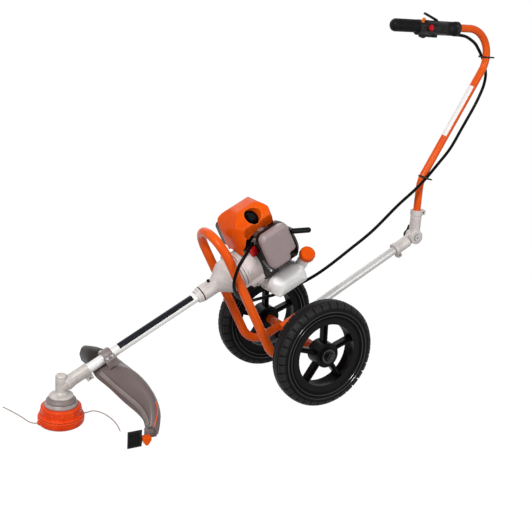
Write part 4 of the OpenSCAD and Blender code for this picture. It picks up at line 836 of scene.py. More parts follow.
def cuboid(name: str, size: Point) -> Piece:
    """Starts a block with sharp edges round the origin.

    Args:
        name: name of the piece.
        size: its three sides.

    Returns:
        The block.
    """
    deselect()
    bpy.ops.mesh.primitive_cube_add(size=1)
    piece = bpy.context.view_layer.objects.active
    piece.name = name
    bpy.ops.transform.resize(value=size)
    bpy.ops.object.transform_apply(location=True, rotation=True, scale=True)
    return piece


def turned(name: str, profile: Sequence[Flat], place: Matrix, steps: int = 48) -> Piece:
    """Turns a closed profile of radius and height about its own Z axis.

    Args:
        name: name of the piece.
        profile: radius and height of each corner.
        place: frame of the finished piece.
        steps: steps round the axis.

    Returns:
        The turned piece.
    """
    count = len(profile)
    piece = new_mesh(name, [(r, 0, h) for r, h in profile], [(i, (i + 1) % count) for i in range(count)])
    with editing(piece):
        bpy.ops.mesh.spin(steps=steps, angle=TURN, center=(0, 0, 0), axis=(0, 0, 1))
        bpy.ops.mesh.select_all(action="SELECT")
        bpy.ops.mesh.remove_doubles(threshold=MERGE)
        bpy.ops.mesh.normals_make_consistent(inside=False)
    return placed(ease(piece, 0), place)


def raised(name: str, outline: Sequence[Flat], thick: float) -> Piece:
    """Raises an outline to a plate that stands on Z.

    Args:
        name: name of the piece.
        outline: corners of the plate.
        thick: its thickness.

    Returns:
        The plate, with sharp edges.
    """
    piece = new_mesh(name, [(x, y, 0) for x, y in outline], faces=[list(range(len(outline)))])
    with editing(piece):
        bpy.ops.mesh.extrude_region_move(TRANSFORM_OT_translate={"value": (0, 0, thick)})
        bpy.ops.mesh.select_all(action="SELECT")
        bpy.ops.mesh.normals_make_consistent(inside=False)
    return piece


def sector(inner: float, outer: float, first_deg: float, last_deg: float, steps: int = 20) -> list[Flat]:
    """Returns the outline of a slice of a ring between two angles."""
    turns = [math.radians(first_deg + (last_deg - first_deg) * i / steps) for i in range(steps + 1)]
    return ([(outer * math.cos(a), outer * math.sin(a)) for a in turns]
            + [(inner * math.cos(a), inner * math.sin(a)) for a in reversed(turns)])


def rounded(corners: Sequence[tuple[float, float, float]], steps: int = 6) -> list[Flat]:
    """Rounds the corners of an outline.

    Args:
        corners: place and radius of each corner, in order.
        steps: straight runs in each rounding.

    Returns:
        The points of the rounded outline.
    """
    points: list[Flat] = []
    for i, (x, y, r) in enumerate(corners):
        corner = Vector((x, y))
        before = (Vector(corners[i - 1][:2]) - corner).normalized()
        after = (Vector(corners[(i + 1) % len(corners)][:2]) - corner).normalized()
        half = before.angle(after) / 2
        middle = corner + (before + after).normalized() * (r / math.sin(half))
        start = corner + before * (r / math.tan(half)) - middle
        sweep = start.angle_signed(corner + after * (r / math.tan(half)) - middle)
        for k in range(steps + 1):
            spoke = start.copy()
            spoke.rotate(Matrix.Rotation(-sweep * k / steps, 2))
            points.append(tuple(middle + spoke))
    return points


def joined(name: str, members: Sequence[Piece]) -> Piece:
    """Joins several meshes to one piece.

    Args:
        name: name of the piece.
        members: meshes to join; the first one takes up the others.

    Returns:
        The piece.
    """
    deselect()
    for member in members:
        member.select_set(True)
    bpy.context.view_layer.objects.active = members[0]
    bpy.ops.object.join()
    members[0].name = name
    return members[0]


def repeated(name: str, first: Piece, places: Sequence[Matrix]) -> list[Piece]:
    """Copies a piece to several places and removes the first one.

    Args:
        name: name of the copies.
        first: piece to copy.
        places: frame of each copy.

    Returns:
        The copies.
    """
    copies = []
    for place in places:
        copy = linked(name, first.data.copy())
        copy.data.transform(place)
        copies.append(copy)
    bpy.data.objects.remove(first)
    return copies


def screws(name: str, places: Sequence[Matrix], head_d: float, head_h: float) -> Piece:
    """Models one socket screw, sunk a little into its seat, and copies it to each place.

    Args:
        name: name of the group.
        places: frames whose Z stands out of the surface.
        head_d: diameter of the head.
        head_h: height of the head.

    Returns:
        The group as one piece.
    """
    sunk = socket_deep = 0.6 * head_h
    socket_rim, rounding = 0.24 * head_d, 0.06 * head_d
    deselect()
    bpy.ops.mesh.primitive_cylinder_add(vertices=24, radius=head_d / 2, depth=head_h + sunk,
                                        location=(0, 0, (head_h - sunk) / 2))
    first = placed(bpy.context.view_layer.objects.active, Matrix.Identity(4))
    with editing_faces(first, looks_up):
        bpy.ops.mesh.inset(thickness=socket_rim)
        bpy.ops.mesh.extrude_region_move(TRANSFORM_OT_translate={"value": (0, 0, -socket_deep)})
    ease(first, rounding, 2)
    return joined(name, repeated(name, first, places))


def wear(piece: Piece, look: Look, body: str) -> Piece:
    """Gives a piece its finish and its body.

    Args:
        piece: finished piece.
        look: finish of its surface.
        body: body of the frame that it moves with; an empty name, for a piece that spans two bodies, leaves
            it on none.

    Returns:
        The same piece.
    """
    piece.data.materials.clear()
    piece.data.materials.append(look.material)
    if body:
        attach(piece, body)
    log.info("%s: %s on %s", piece.name, look.value.name, body or "two bodies")
    return piece


def stand_for(piece: Piece, node: str, look: Look) -> Piece:
    """Lets a piece stand for a solid, on the solid's own body.

    Args:
        piece: finished piece.
        node: solid that it stands for.
        look: finish of its surface.

    Returns:
        The same piece.
    """
    bodies = frame["record"]["behaviour"]["bodies"]
    body = next(name for name, members in bodies.items() if node in members)
    wear(piece, look, body)
    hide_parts(node)
    return piece


def moulded(node: str, name: str, look: Look, voxel_mm: float, passes: int, keep: float = 1.0) -> Piece:
    """Lets a softened copy stand for a solid; soften explains the last three values."""
    return stand_for(soften(node, name, voxel_mm, passes, keep), node, look)


def at_tube(along: float, across: float = 0.0, above: float = 0.0) -> Matrix:
    """Gives the drive tube's frame, moved along, across and square to the tube."""
    return TUBE_FRAME @ Matrix.Translation((along, across, above))


def smooth_route(points: Sequence[Point], steps: int = 6) -> list[Vector]:
    """Draws one smooth line through a cord's points.

    Args:
        points: places that the cord passes.
        steps: short straight runs between two points.

    Returns:
        The points of the smooth line.
    """
    knots = [Vector(p) for p in points]
    knots = [knots[0] * 2 - knots[1]] + knots + [knots[-1] * 2 - knots[-2]]
    line: list[Vector] = []
    for a, b, c, d in zip(knots, knots[1:], knots[2:], knots[3:]):
        for i in range(steps):
            t = i / steps
            line.append(0.5 * (2 * b + (c - a) * t + (2 * a - 5 * b + 4 * c - d) * t * t
                               + (3 * b - a - 3 * c + d) * t * t * t))
    line.append(knots[-2])
    return line


def strand(name: str, line: Sequence[Vector], diameter: float, rounds: int) -> Piece:
    """Makes a round strand along a line, as a mesh with closed ends.

    Args:
        name: name of the piece.
        line: points of its middle.
        diameter: its thickness.
        rounds: Blender's bevel resolution of its section.

    Returns:
        The strand.
    """
    deselect()
    data = bpy.data.curves.new(name, "CURVE")
    data.dimensions = "3D"
    spline = data.splines.new("POLY")
    spline.points.add(len(line) - 1)
    for knot, place in zip(spline.points, line):
        knot.co = (*place, 1)
    data.bevel_depth = diameter / 2
    data.bevel_resolution = rounds
    data.use_fill_caps = True
    pick(linked(name, data))
    bpy.ops.object.convert(target="MESH")
    piece = bpy.context.view_layer.objects.active
    piece.name = name
    bpy.ops.object.shade_smooth_by_angle(angle=STRAND_SMOOTH)
    return piece


# Stage

@dataclass(frozen=True)
class Lamp:
    """A square soft box: where it hangs, what it looks at, its side and its power in watts."""

    name: str
    place: Point
    aim: Point
    size: float
    watts: float

    def hang(self) -> None:
        """Adds the soft box to the scene."""
        data = bpy.data.lights.new(self.name, "AREA")
        data.size = self.size
        data.energy = self.watts
        look = (Vector(self.aim) - Vector(self.place)).to_track_quat("-Z", "Y").to_matrix().to_4x4()
        linked(self.name, data).matrix_world = Matrix.Translation(self.place) @ look


@dataclass
class Studio:
    """Pale floor, soft light and the camera of the photograph's view."""

    eye: Point = (-0.6798, -2.0317, 1.0799)
    right: Point = (0.8596, -0.5066, 0.0670)
    up: Point = (0.0916, 0.2819, 0.9551)
    back: Point = (-0.5027, -0.8148, 0.2887)
    focal_px: float = 914.95
    frame_px: float = 532.0
    sensor_mm: float = 36.0
    room_light: float = 0.27
    floor_size: float = 400.0
    floor_at: Point = (0.5, 1.0, -0.0006)
    floor_grey: float = 0.45
    floor_glow: float = 1.13
    glow_share: float = 0.88
    lamps: tuple[Lamp, ...] = (
        Lamp("key_softbox", (-1.6, -1.5, 2.5), (0.5, 0, 0.35), 0.7, 78),
        Lamp("fill_softbox", (1.3, -2.7, 1.2), (0.5, 0, 0.35), 1.4, 26),
        Lamp("rear_softbox", (0.8, 2.4, 2.2), (0.6, 0, 0.4), 1.6, 16),
    )

    def camera(self) -> None:
        """Sets the camera at the photograph's place."""
        data = bpy.data.cameras.new("view_camera")
        data.sensor_width = self.sensor_mm
        data.lens = self.focal_px / self.frame_px * self.sensor_mm
        eye = linked("view_camera", data)
        axes = Matrix((self.right, self.up, self.back)).transposed().to_4x4()
        eye.matrix_world = Matrix.Translation(self.eye) @ axes
        bpy.context.scene.camera = eye

    def land(self, piece: Piece, px: float, py: float) -> Matrix:
        """Finds where a pixel of the view lies on a piece.

        Args:
            piece: what the pixel shows.
            px: pixel across.
            py: pixel down.

        Returns:
            A frame on the surface whose Z stands out of it.
        """
        half = self.frame_px / 2
        ray = (Vector(self.right) * ((px - half) / self.focal_px)
               + Vector(self.up) * ((half - py) / self.focal_px) - Vector(self.back))
        bpy.context.view_layer.update()
        hit, spot, normal, _ = piece.ray_cast(Vector(self.eye), ray.normalized())
        if not hit:
            raise ValueError(f"{piece.name} isn't seen at {px}, {py}")
        return Matrix.Translation(spot) @ normal.to_track_quat("Z", "Y").to_matrix().to_4x4()

    def film(self, name: str, along: Vector, foot: Vector, radius: float, length: float,
             span_deg: Flat) -> Piece:
        """Lays a thin film on a round bar.

        Args:
            name: name of the film.
            along: direction of the bar.
            foot: start of the film on the bar's middle.
            radius: radius of the bar.
            length: length of the film.
            span_deg: where it starts and ends round the bar, from the side that the camera sees.

        Returns:
            The film.
        """
        ahead = along.normalized()
        seen = Vector(self.back)
        seen = (seen - ahead * seen.dot(ahead)).normalized()
        axes = Matrix((seen, ahead.cross(seen), ahead)).transposed().to_4x4()
        piece = raised(name, sector(radius, radius + FILM_T, *span_deg), length)
        return placed(ease(piece, 0), Matrix.Translation(foot) @ axes)

    def world(self) -> None:
        """Lights all round, and shows white where nothing stands."""
        world = bpy.data.worlds.new("white_room")
        bpy.context.scene.world = world
        world.use_nodes = True
        tree = world.node_tree
        tree.nodes.clear()
        rays = add_node(tree, "ShaderNodeLightPath").outputs
        seen = worked_out(tree, "MAXIMUM", rays["Is Camera Ray"], rays["Is Transmission Ray"])
        seen = worked_out(tree, "MAXIMUM", seen, rays["Is Glossy Ray"])
        room = add_node(tree, "ShaderNodeBackground", {"Color": WHITE, "Strength": self.room_light})
        white = add_node(tree, "ShaderNodeBackground", {"Color": WHITE, "Strength": 1.0})
        add_node(tree, "ShaderNodeOutputWorld", links={"Surface": mixed(tree, seen, room, white)})

    def floor(self) -> None:
        """Lays a pale floor that keeps a faint shadow."""
        deselect()
        bpy.ops.mesh.primitive_plane_add(size=self.floor_size, location=self.floor_at)
        plane = placed(bpy.context.view_layer.objects.active, Matrix.Identity(4))
        plane.name = "floor"
        paint = bpy.data.materials.new("white_studio_floor")
        paint.use_nodes = True
        tree = paint.node_tree
        tree.nodes.clear()
        rays = add_node(tree, "ShaderNodeLightPath").outputs
        seen = worked_out(tree, "MAXIMUM", rays["Is Camera Ray"], rays["Is Glossy Ray"])
        share = worked_out(tree, "MULTIPLY", seen, self.glow_share)
        matte = add_node(tree, "ShaderNodeBsdfDiffuse", {"Color": (*(self.floor_grey,) * 3, 1)})
        glow = add_node(tree, "ShaderNodeEmission", {"Color": WHITE, "Strength": self.floor_glow})
        add_node(tree, "ShaderNodeOutputMaterial", links={"Surface": mixed(tree, share, matte, glow)})
        plane.data.materials.append(paint)

    def build(self) -> None:
        """Sets camera, light and floor."""
        bpy.context.scene.view_settings.view_transform = "Standard"
        self.camera()
        self.world()
        self.floor()
        for lamp in self.lamps:
            lamp.hang()


# Cords

# Places that the cords pass
CABLE_ROUTE: tuple[Point, ...] = (
    (1.148, 0, 0.9925), (1.168, 0, 0.992), (1.195, 0.001, 0.988), (1.233, 0.006, 0.972),
    (1.258, 0.013, 0.954), (1.276, 0.018, 0.938), (1.287, 0.017, 0.922), (1.295, 0.014, 0.902),
    (1.296, 0.009, 0.88), (1.29, 0.004, 0.858), (1.279, 0, 0.834), (1.259, 0, 0.791), (1.221, 0, 0.726),
    (1.18, -0.006, 0.668), (1.132, -0.014, 0.624), (1.086, -0.019, 0.582), (1.048, -0.02, 0.55),
    (0.991, -0.02, 0.507), (0.912, -0.02, 0.44), (0.839, -0.018, 0.39), (0.772, -0.008, 0.34),
    (0.727, 0.008, 0.306), (0.679, 0.028, 0.277), (0.634, 0.038, 0.259), (0.58, 0.03, 0.256),
    (0.524, 0, 0.264), (0.484, -0.03, 0.285), (0.454, -0.054, 0.31), (0.434, -0.076, 0.338),
    (0.426, -0.091, 0.365), (0.429, -0.097, 0.39),
    (0.436, -0.098, 0.408), (0.446, -0.097, 0.422), (0.4555, -0.092, 0.4305), (0.4665, -0.083, 0.4375),
    (0.4785, -0.071, 0.4435), (0.4898, -0.0637, 0.4489),
)
FRONT_ROUTE: tuple[Point, ...] = (
    (-0.06, -0.004, 0.014), (-0.07, -0.001, 0.014), (-0.079, 0.012, 0.014), (-0.085, 0.034, 0.014),
    (-0.093, 0.06, 0.014), (-0.103, 0.088, 0.014), (-0.114, 0.115, 0.014),
)
REAR_ROUTE: tuple[Point, ...] = (
    (0.06, 0.0042, 0.014), (0.071, 0.005, 0.0145), (0.085, 0.002, 0.017), (0.097, -0.012, 0.018),
    (0.106, -0.038, 0.019), (0.111, -0.07, 0.019), (0.111, -0.1, 0.018), (0.107, -0.128, 0.017),
)


@dataclass
class Cords:
    """The throttle cable, the two cutting lines and the starter rope."""

    cable_d: float = 0.009
    line_d: float = 0.0027
    rope_d: float = 0.0035
    cable_route: tuple[Point, ...] = CABLE_ROUTE
    front_route: tuple[Point, ...] = FRONT_ROUTE
    rear_route: tuple[Point, ...] = REAR_ROUTE
    # Ends of the rope along, across and square to the drive tube
    rope_pulley: Point = (0.7052, -0.0163, 0.0460)
    rope_knot: Point = (0.7052, -0.0699, 0.0526)
    rope_steps: int = 40

    def throttle_cable(self) -> None:
        """Makes the cable."""
        line = smooth_route(self.cable_route)
        piece = strand("throttle_cable_run", line, self.cable_d, rounds=4)
        wear(piece, Look.CONDUIT, "")
        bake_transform(piece)
        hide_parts("throttle_cable")

    def cutting_line(self, name: str, node: str, route: Sequence[Point]) -> None:
        """Makes one cutting line, stiff enough to stand out of its eyelet.

        Args:
            name: name of the piece.
            node: solid that it stands for.
            route: points that it passes.
        """
        line = smooth_route(route)
        piece = strand(name, line, self.line_d, rounds=3)
        wear(piece, Look.LINE, "cutting_head")
        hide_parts(node)

    def starter_rope(self) -> None:
        """Makes the rope."""
        pulley, knot = TUBE_FRAME @ Vector(self.rope_pulley), TUBE_FRAME @ Vector(self.rope_knot)
        line = [pulley.lerp(knot, i / self.rope_steps) for i in range(self.rope_steps + 1)]
        piece = strand("starter_rope_run", line, self.rope_d, rounds=3)
        wear(piece, Look.ROPE, "")
        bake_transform(piece)
        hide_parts("starter_rope")

    def build(self) -> None:
        """Makes every strand."""
        self.throttle_cable()
        self.cutting_line("cutting_line_front", "trimmer_line_front", self.front_route)
        self.cutting_line("cutting_line_rear", "trimmer_line_rear", self.rear_route)
        self.starter_rope()


# Sub-assemblies

@dataclass
class CuttingHead:
    """Gear case, flange and line head at the front end."""

    voxel_mm: float = 0.9
    flange_voxel_mm: float = 0.8

    def build(self) -> None:
        """Rounds the edges of the gear case, of the flange under it and of the line head's two halves."""
        moulded("gear_case", "gear_case_casting", Look.CASE, self.voxel_mm, passes=3)
        moulded("head_flange", "head_flange_plate", Look.FLANGE, self.flange_voxel_mm, passes=3)
        moulded("head_housing", "line_head_drum", Look.NYLON, self.voxel_mm, passes=3, keep=0.6)
        moulded("head_cover", "line_head_cover", Look.NYLON, self.voxel_mm, passes=3, keep=0.6)


@dataclass
class Guard:
    """Moulded guard with its raised lip, orange trim, clamp and shoe."""

    studio: Studio
    # Pixels of the view that the lip's outer edge and the trim run through
    lip_route_px: tuple[Flat, ...] = ((99.5, 375), (111, 385.5), (119.5, 392.5), (128.5, 400), (138, 408.5),
                                      (144.5, 418), (147, 427))
    trim_route_px: tuple[Flat, ...] = ((155.5, 402), (157, 408), (157, 415), (155.5, 422), (153.5, 428))
    # Step in the view from the lip's outer to its inner edge: 4.5 pixels to the upper right
    lip_step_px: Flat = (0.65 * 4.5, -0.76 * 4.5)
    lip_outer_lift: float = 0.0012
    lip_inner_lift: float = 0.0042
    lip_t: float = 0.0022
    trim_lift: float = 0.0004
    trim_d: float = 0.0030

    def lay(self, shell: Piece, route: Sequence[Flat], step: Flat, lift: float) -> list[Vector]:
        """Lays a line of pixels on the guard's surface.

        Args:
            shell: the guard.
            route: pixels of the view.
            step: shift of all of them, in pixels.
            lift: height above the surface.

        Returns:
            A smooth line of points.
        """
        spots = [self.studio.land(shell, px + step[0], py + step[1]) for px, py in route]
        return smooth_route([tuple(spot @ Vector((0, 0, lift))) for spot in spots])

    def build(self) -> None:
        """Makes the moulded shell with its lip and trim, the clamp and the orange shoe."""
        shell = stand_for(copied("guard", "guard_shell"), "guard", Look.GUARD)
        outer = self.lay(shell, self.lip_route_px, (0, 0), self.lip_outer_lift)
        inner = self.lay(shell, self.lip_route_px, self.lip_step_px, self.lip_inner_lift)
        wear(ribbon("guard_lip", outer, inner, self.lip_t), Look.LIP, "chassis")
        trim = self.lay(shell, self.trim_route_px, (0, 0), self.trim_lift)
        wear(strand("guard_trim", trim, self.trim_d, rounds=3), Look.NYLON, "chassis")
        moulded("guard_bracket", "guard_clamp", Look.CLAMP, voxel_mm=0.8, passes=2, keep=0.7)
        moulded("guard_end_cap", "guard_shoe", Look.ABS, voxel_mm=0.7, passes=3)


@dataclass
class DriveTube:
    """The straight tube between gear case and clutch, with its bare strip of film."""

    studio: Studio
    radius: float = 0.013
    film_from: float = 0.172
    film_to: float = 0.402
    film_span_deg: Flat = (-104.0, 12.0)

    def build(self) -> None:
        """Lays the dark film on the upper left of the tube."""
        along = TUBE_FRAME.to_3x3() @ Vector((1, 0, 0))
        foot = TUBE_FRAME @ Vector((self.film_from, 0, 0))
        length = self.film_to - self.film_from
        strip = self.studio.film("tube_film_strip", along, foot, self.radius, length, self.film_span_deg)
        wear(strip, Look.STRIP, "chassis")


@dataclass
class Engine:
    """Clutch housing, crankcase, shroud and starter, with the throttle's linkage.

    A name that ends in s is a place along the drive tube.
    """

    studio: Studio
    # Pixels of the view where the crankcase's screws show
    screw_spots_px: tuple[Flat, ...] = ((255.0, 261.4), (270.5, 270.0), (266.0, 279.5), (258.0, 284.5),
                                        (249.0, 272.0))
    screw_d: float = 0.0075
    screw_h: float = 0.004
    # Section of the seal ring on the clutch housing's nose: radius, and place past the nose
    nose_s: float = 0.428
    nose_ring: tuple[Flat, ...] = ((0.0188, 0.0003), (0.0206, 0.0003), (0.0212, 0.0015), (0.0206, 0.0027),
                                   (0.0188, 0.0027))
    gasket_s: float = 0.548
    gasket_inner_r: float = 0.0505
    gasket_outer_r: float = 0.0523
    gasket_half: float = 0.0006
    # The screw that clamps the tube leans from the top to the left
    clamp_s: float = 0.461
    clamp_lean_deg: float = 10.0
    clamp_out: float = 0.0215
    clamp_d: float = 0.0085
    clamp_h: float = 0.0055
    sleeve_at: Point = (0.5075, -0.0400, 0.4185)
    sleeve_size: Point = (0.021, 0.012, 0.023)
    sleeve_round: float = 0.003
    spring_low: Point = (0.5500, -0.0600, 0.3690)
    spring_high: Point = (0.5270, -0.0600, 0.3960)
    spring_r: float = 0.0032
    spring_wire: float = 0.0011
    spring_turns: int = 9
    spring_steps: int = 12
    # Place of the baffle along, across and square to the drive tube
    baffle_at: Point = (0.652, 0.0425, 0.107)
    baffle_size: Point = (0.075, 0.0016, 0.045)
    baffle_round: float = 0.0004
    # Line of the hollow below the shroud's opening, and the push that makes it
    hollow: tuple[Point, Point] = ((0.482, -0.0595, 0.474), (0.540, -0.0590, 0.502))
    hollow_near: float = 0.007
    hollow_push: Point = (0.010, 0.015, -0.013)
    hollow_reach: float = 0.013

    def castings(self) -> None:
        """Rounds the clutch housing and the crankcase, and adds their screws and seals."""
        moulded("clutch_housing", "clutch_housing_casting", Look.CAST, voxel_mm=1.0, passes=3, keep=0.7)
        case = moulded("crankcase", "crankcase_casting", Look.SAND, voxel_mm=1.1, passes=3, keep=0.7)
        heads = [self.studio.land(case, px, py) for px, py in self.screw_spots_px]
        case_screws = screws("crankcase_screws", heads, self.screw_d, self.screw_h)
        wear(case_screws, Look.ZINC, "chassis")
        ring = turned("clutch_nose_ring", self.nose_ring, at_tube(self.nose_s) @ ALONG_X)
        wear(ring, Look.SEAL, "chassis")
        # The gasket's dark ring also paints the shade line between the flange and the crankcase
        inner, outer, half = self.gasket_inner_r, self.gasket_outer_r, self.gasket_half
        section = [(inner, -half), (outer, -half), (outer, half), (inner, half)]
        gasket = turned("crankcase_gasket", section, at_tube(self.gasket_s) @ ALONG_X, steps=64)
        wear(gasket, Look.SEAL, "chassis")
        lean = Matrix.Rotation(math.radians(self.clamp_lean_deg), 4, "X")
        seat = at_tube(self.clamp_s) @ lean @ Matrix.Translation((0, 0, self.clamp_out))
        clamp = screws("clutch_clamp_screw", [seat], self.clamp_d, self.clamp_h)
        wear(clamp, Look.SEAL, "chassis")

    def linkage(self) -> None:
        """Adds the red cable sleeve and the throttle's return spring beside the carburettor."""
        place = Matrix.Translation(self.sleeve_at) @ Matrix.Rotation(-SLOPE, 4, "Y")
        sleeve = placed(ease(cuboid("red_cable_sleeve", self.sleeve_size), self.sleeve_round), place)
        wear(sleeve, Look.RED, "chassis")
        low, high = Vector(self.spring_low), Vector(self.spring_high)
        axis = (high - low).normalized()
        side = axis.cross(Vector((0, 1, 0))).normalized()
        count = self.spring_turns * self.spring_steps
        coil = []
        for i in range(count + 1):
            angle = TURN * i / self.spring_steps
            spoke = side * math.cos(angle) + axis.cross(side) * math.sin(angle)
            coil.append(low.lerp(high, i / count) + spoke * self.spring_r)
        spring = strand("throttle_return_spring", coil, self.spring_wire, rounds=2)
        wear(spring, Look.STEEL, "chassis")

    def baffle(self) -> None:
        """Stands a black plate beside the cylinder, where an air baffle would sit: it paints shade into the
        shroud's opening.
        """
        plate = ease(cuboid("cylinder_air_baffle", self.baffle_size), self.baffle_round)
        wear(placed(plate, at_tube(*self.baffle_at)), Look.FINS, "chassis")

    def shroud(self) -> None:
        """Rounds the orange shroud with its hollow, the starter and the boot on the spark plug."""
        shell = soften("engine_shroud", "shroud_moulding", voxel_mm=1.2, passes=5, keep=0.75)
        press_in(shell, *self.hollow, self.hollow_near, self.hollow_push, self.hollow_reach)
        stand_for(shell, "engine_shroud", Look.ABS)
        moulded("starter_cover", "starter_moulding", Look.BLACK, voxel_mm=1.1, passes=3, keep=0.7)
        moulded("starter_handle", "starter_pull", Look.BOOT, voxel_mm=0.7, passes=3)
        moulded("spark_plug_boot", "plug_boot", Look.BOOT, voxel_mm=0.7, passes=3)

    def build(self) -> None:
        """Makes the engine's pieces."""
        self.castings()
        self.linkage()
        self.baffle()
        self.shroud()


@dataclass
class AirFilter:
    """Filter cover: a deep lid with sloping edges and a raised panel, on a black seal."""

    # Place of the seal's back along, across and square to the drive tube
    place: Point = (0.647, -0.072, 0.046)
    half_s: float = 0.043
    half_h: float = 0.052
    corner_r: float = 0.018
    # The notch for the choke lever: its two sides, its outer corners and its inner one
    notch_s: float = 0.02
    notch_h: float = -0.033
    notch_outer_r: float = 0.0105
    notch_inner_r: float = 0.007
    skin_t: float = 0.0022
    # The seal is deep, so that its black band also paints the shade under the lid's side
    seal_h: float = 0.011
    seal_round: float = 0.0004
    wall_h: float = 0.0145
    slope_w: float = 0.0068
    slope_h: float = 0.0075
    ledge_w: float = 0.0016
    panel_w: float = 0.0008
    panel_h: float = 0.0006
    lid_round: float = 0.0012
    lid_sharp_deg: float = 20.0

    def outline(self) -> list[Flat]:
        """Returns the cover's outline, with the notch for the choke lever."""
        s, h, notch_s, notch_h = self.half_s, self.half_h, self.notch_s, self.notch_h
        return rounded([(-s, h, self.corner_r), (-s, -h, self.corner_r), (notch_s, -h, self.notch_outer_r),
                        (notch_s, notch_h, self.notch_inner_r), (s, notch_h, self.notch_outer_r),
                        (s, h, self.corner_r)])

    def hollowed(self, piece: Piece, opening: Callable[[Vector, Vector], bool]) -> None:
        """Takes away the faces of an opening and gives the rest a wall."""
        with editing_faces(piece, opening):
            bpy.ops.mesh.delete(type="FACE")
        rework(piece, "SOLIDIFY", thickness=self.skin_t, offset=-1.0)

    def build(self) -> None:
        """Models the lid and the seal behind it."""
        base = at_tube(*self.place) @ FACE_LEFT
        lid = raised("filter_lid", self.outline(), self.wall_h)
        with editing_faces(lid, looks_up):
            bpy.ops.mesh.inset(thickness=self.slope_w, depth=self.slope_h)
            bpy.ops.mesh.inset(thickness=self.ledge_w)
            bpy.ops.mesh.inset(thickness=self.panel_w, depth=self.panel_h)
        self.hollowed(lid, lambda centre, normal: normal.z < -FACING)
        ease(lid, self.lid_round, 3, self.lid_sharp_deg)
        front = base @ Matrix.Translation((0, 0, self.seal_h))
        stand_for(placed(lid, front), "air_filter_cover", Look.COVER)
        # A deep black seal: it also paints the shade under the lid
        seal = raised("filter_seal", self.outline(), self.seal_h)
        self.hollowed(seal, lambda centre, normal: abs(normal.z) > FACING)
        wear(placed(ease(seal, self.seal_round, 2), base), Look.SEAL, "chassis")


@dataclass
class FuelTank:
    """Blow-moulded tank and its cap, with room for the cap to turn on the neck."""

    # The neck's middle at its foot, its direction, and where the cap's mouth begins on it
    cap_foot: Point = (0.66025, -0.054, 0.38764)
    cap_axis: Point = (-0.151054, -0.691474, 0.706432)
    cap_mouth: float = 0.0172
    neck_share: float = 0.95

    def build(self) -> None:
        """Rounds the tank and the cap, and makes the neck a little narrower inside the cap."""
        tank = soften("fuel_tank", "fuel_tank_moulding", voxel_mm=1.4, passes=8, keep=0.8)
        foot, axis = Vector(self.cap_foot), Vector(self.cap_axis)
        with editing_faces(tank, lambda centre, normal: (centre - foot).dot(axis) > self.cap_mouth):
            bpy.ops.transform.resize(value=(self.neck_share,) * 3)
        stand_for(tank, "fuel_tank", Look.TANK)
        moulded("fuel_cap", "fuel_cap_moulding", Look.ABS, voxel_mm=0.8, passes=3, keep=0.8)


class WheelSide(Enum):
    """The two wheels: side of the machine, and which way is out."""

    LEFT = -1
    RIGHT = 1


# Half of the tyre's section, as radius and width: tread with a groove, shoulder, sidewall ridges, bead
TYRE_HALF: tuple[Flat, ...] = (
    (0.15, 0), (0.15, 0.006), (0.1496, 0.0082), (0.1474, 0.009), (0.1474, 0.0104), (0.149, 0.0112),
    (0.1478, 0.013), (0.144, 0.016), (0.1414, 0.0195), (0.138, 0.0222), (0.134, 0.0246), (0.13, 0.0262),
    (0.1265, 0.027), (0.1225, 0.0267), (0.1195, 0.0258), (0.118, 0.0242), (0.1168, 0.0242), (0.1158, 0.0262),
    (0.1136, 0.0262), (0.1122, 0.0246), (0.1108, 0.0228), (0.1085, 0.0212), (0.1062, 0.02), (0.1023, 0.016),
)
# Section of a shoulder lug, drawn the same way
LUG_SECTION: tuple[Flat, ...] = (
    (0.144, 0.0118), (0.1492, 0.0122), (0.1482, 0.0165), (0.1452, 0.0215), (0.1408, 0.025), (0.1362, 0.0266),
    (0.133, 0.0256), (0.138, 0.0205),
)


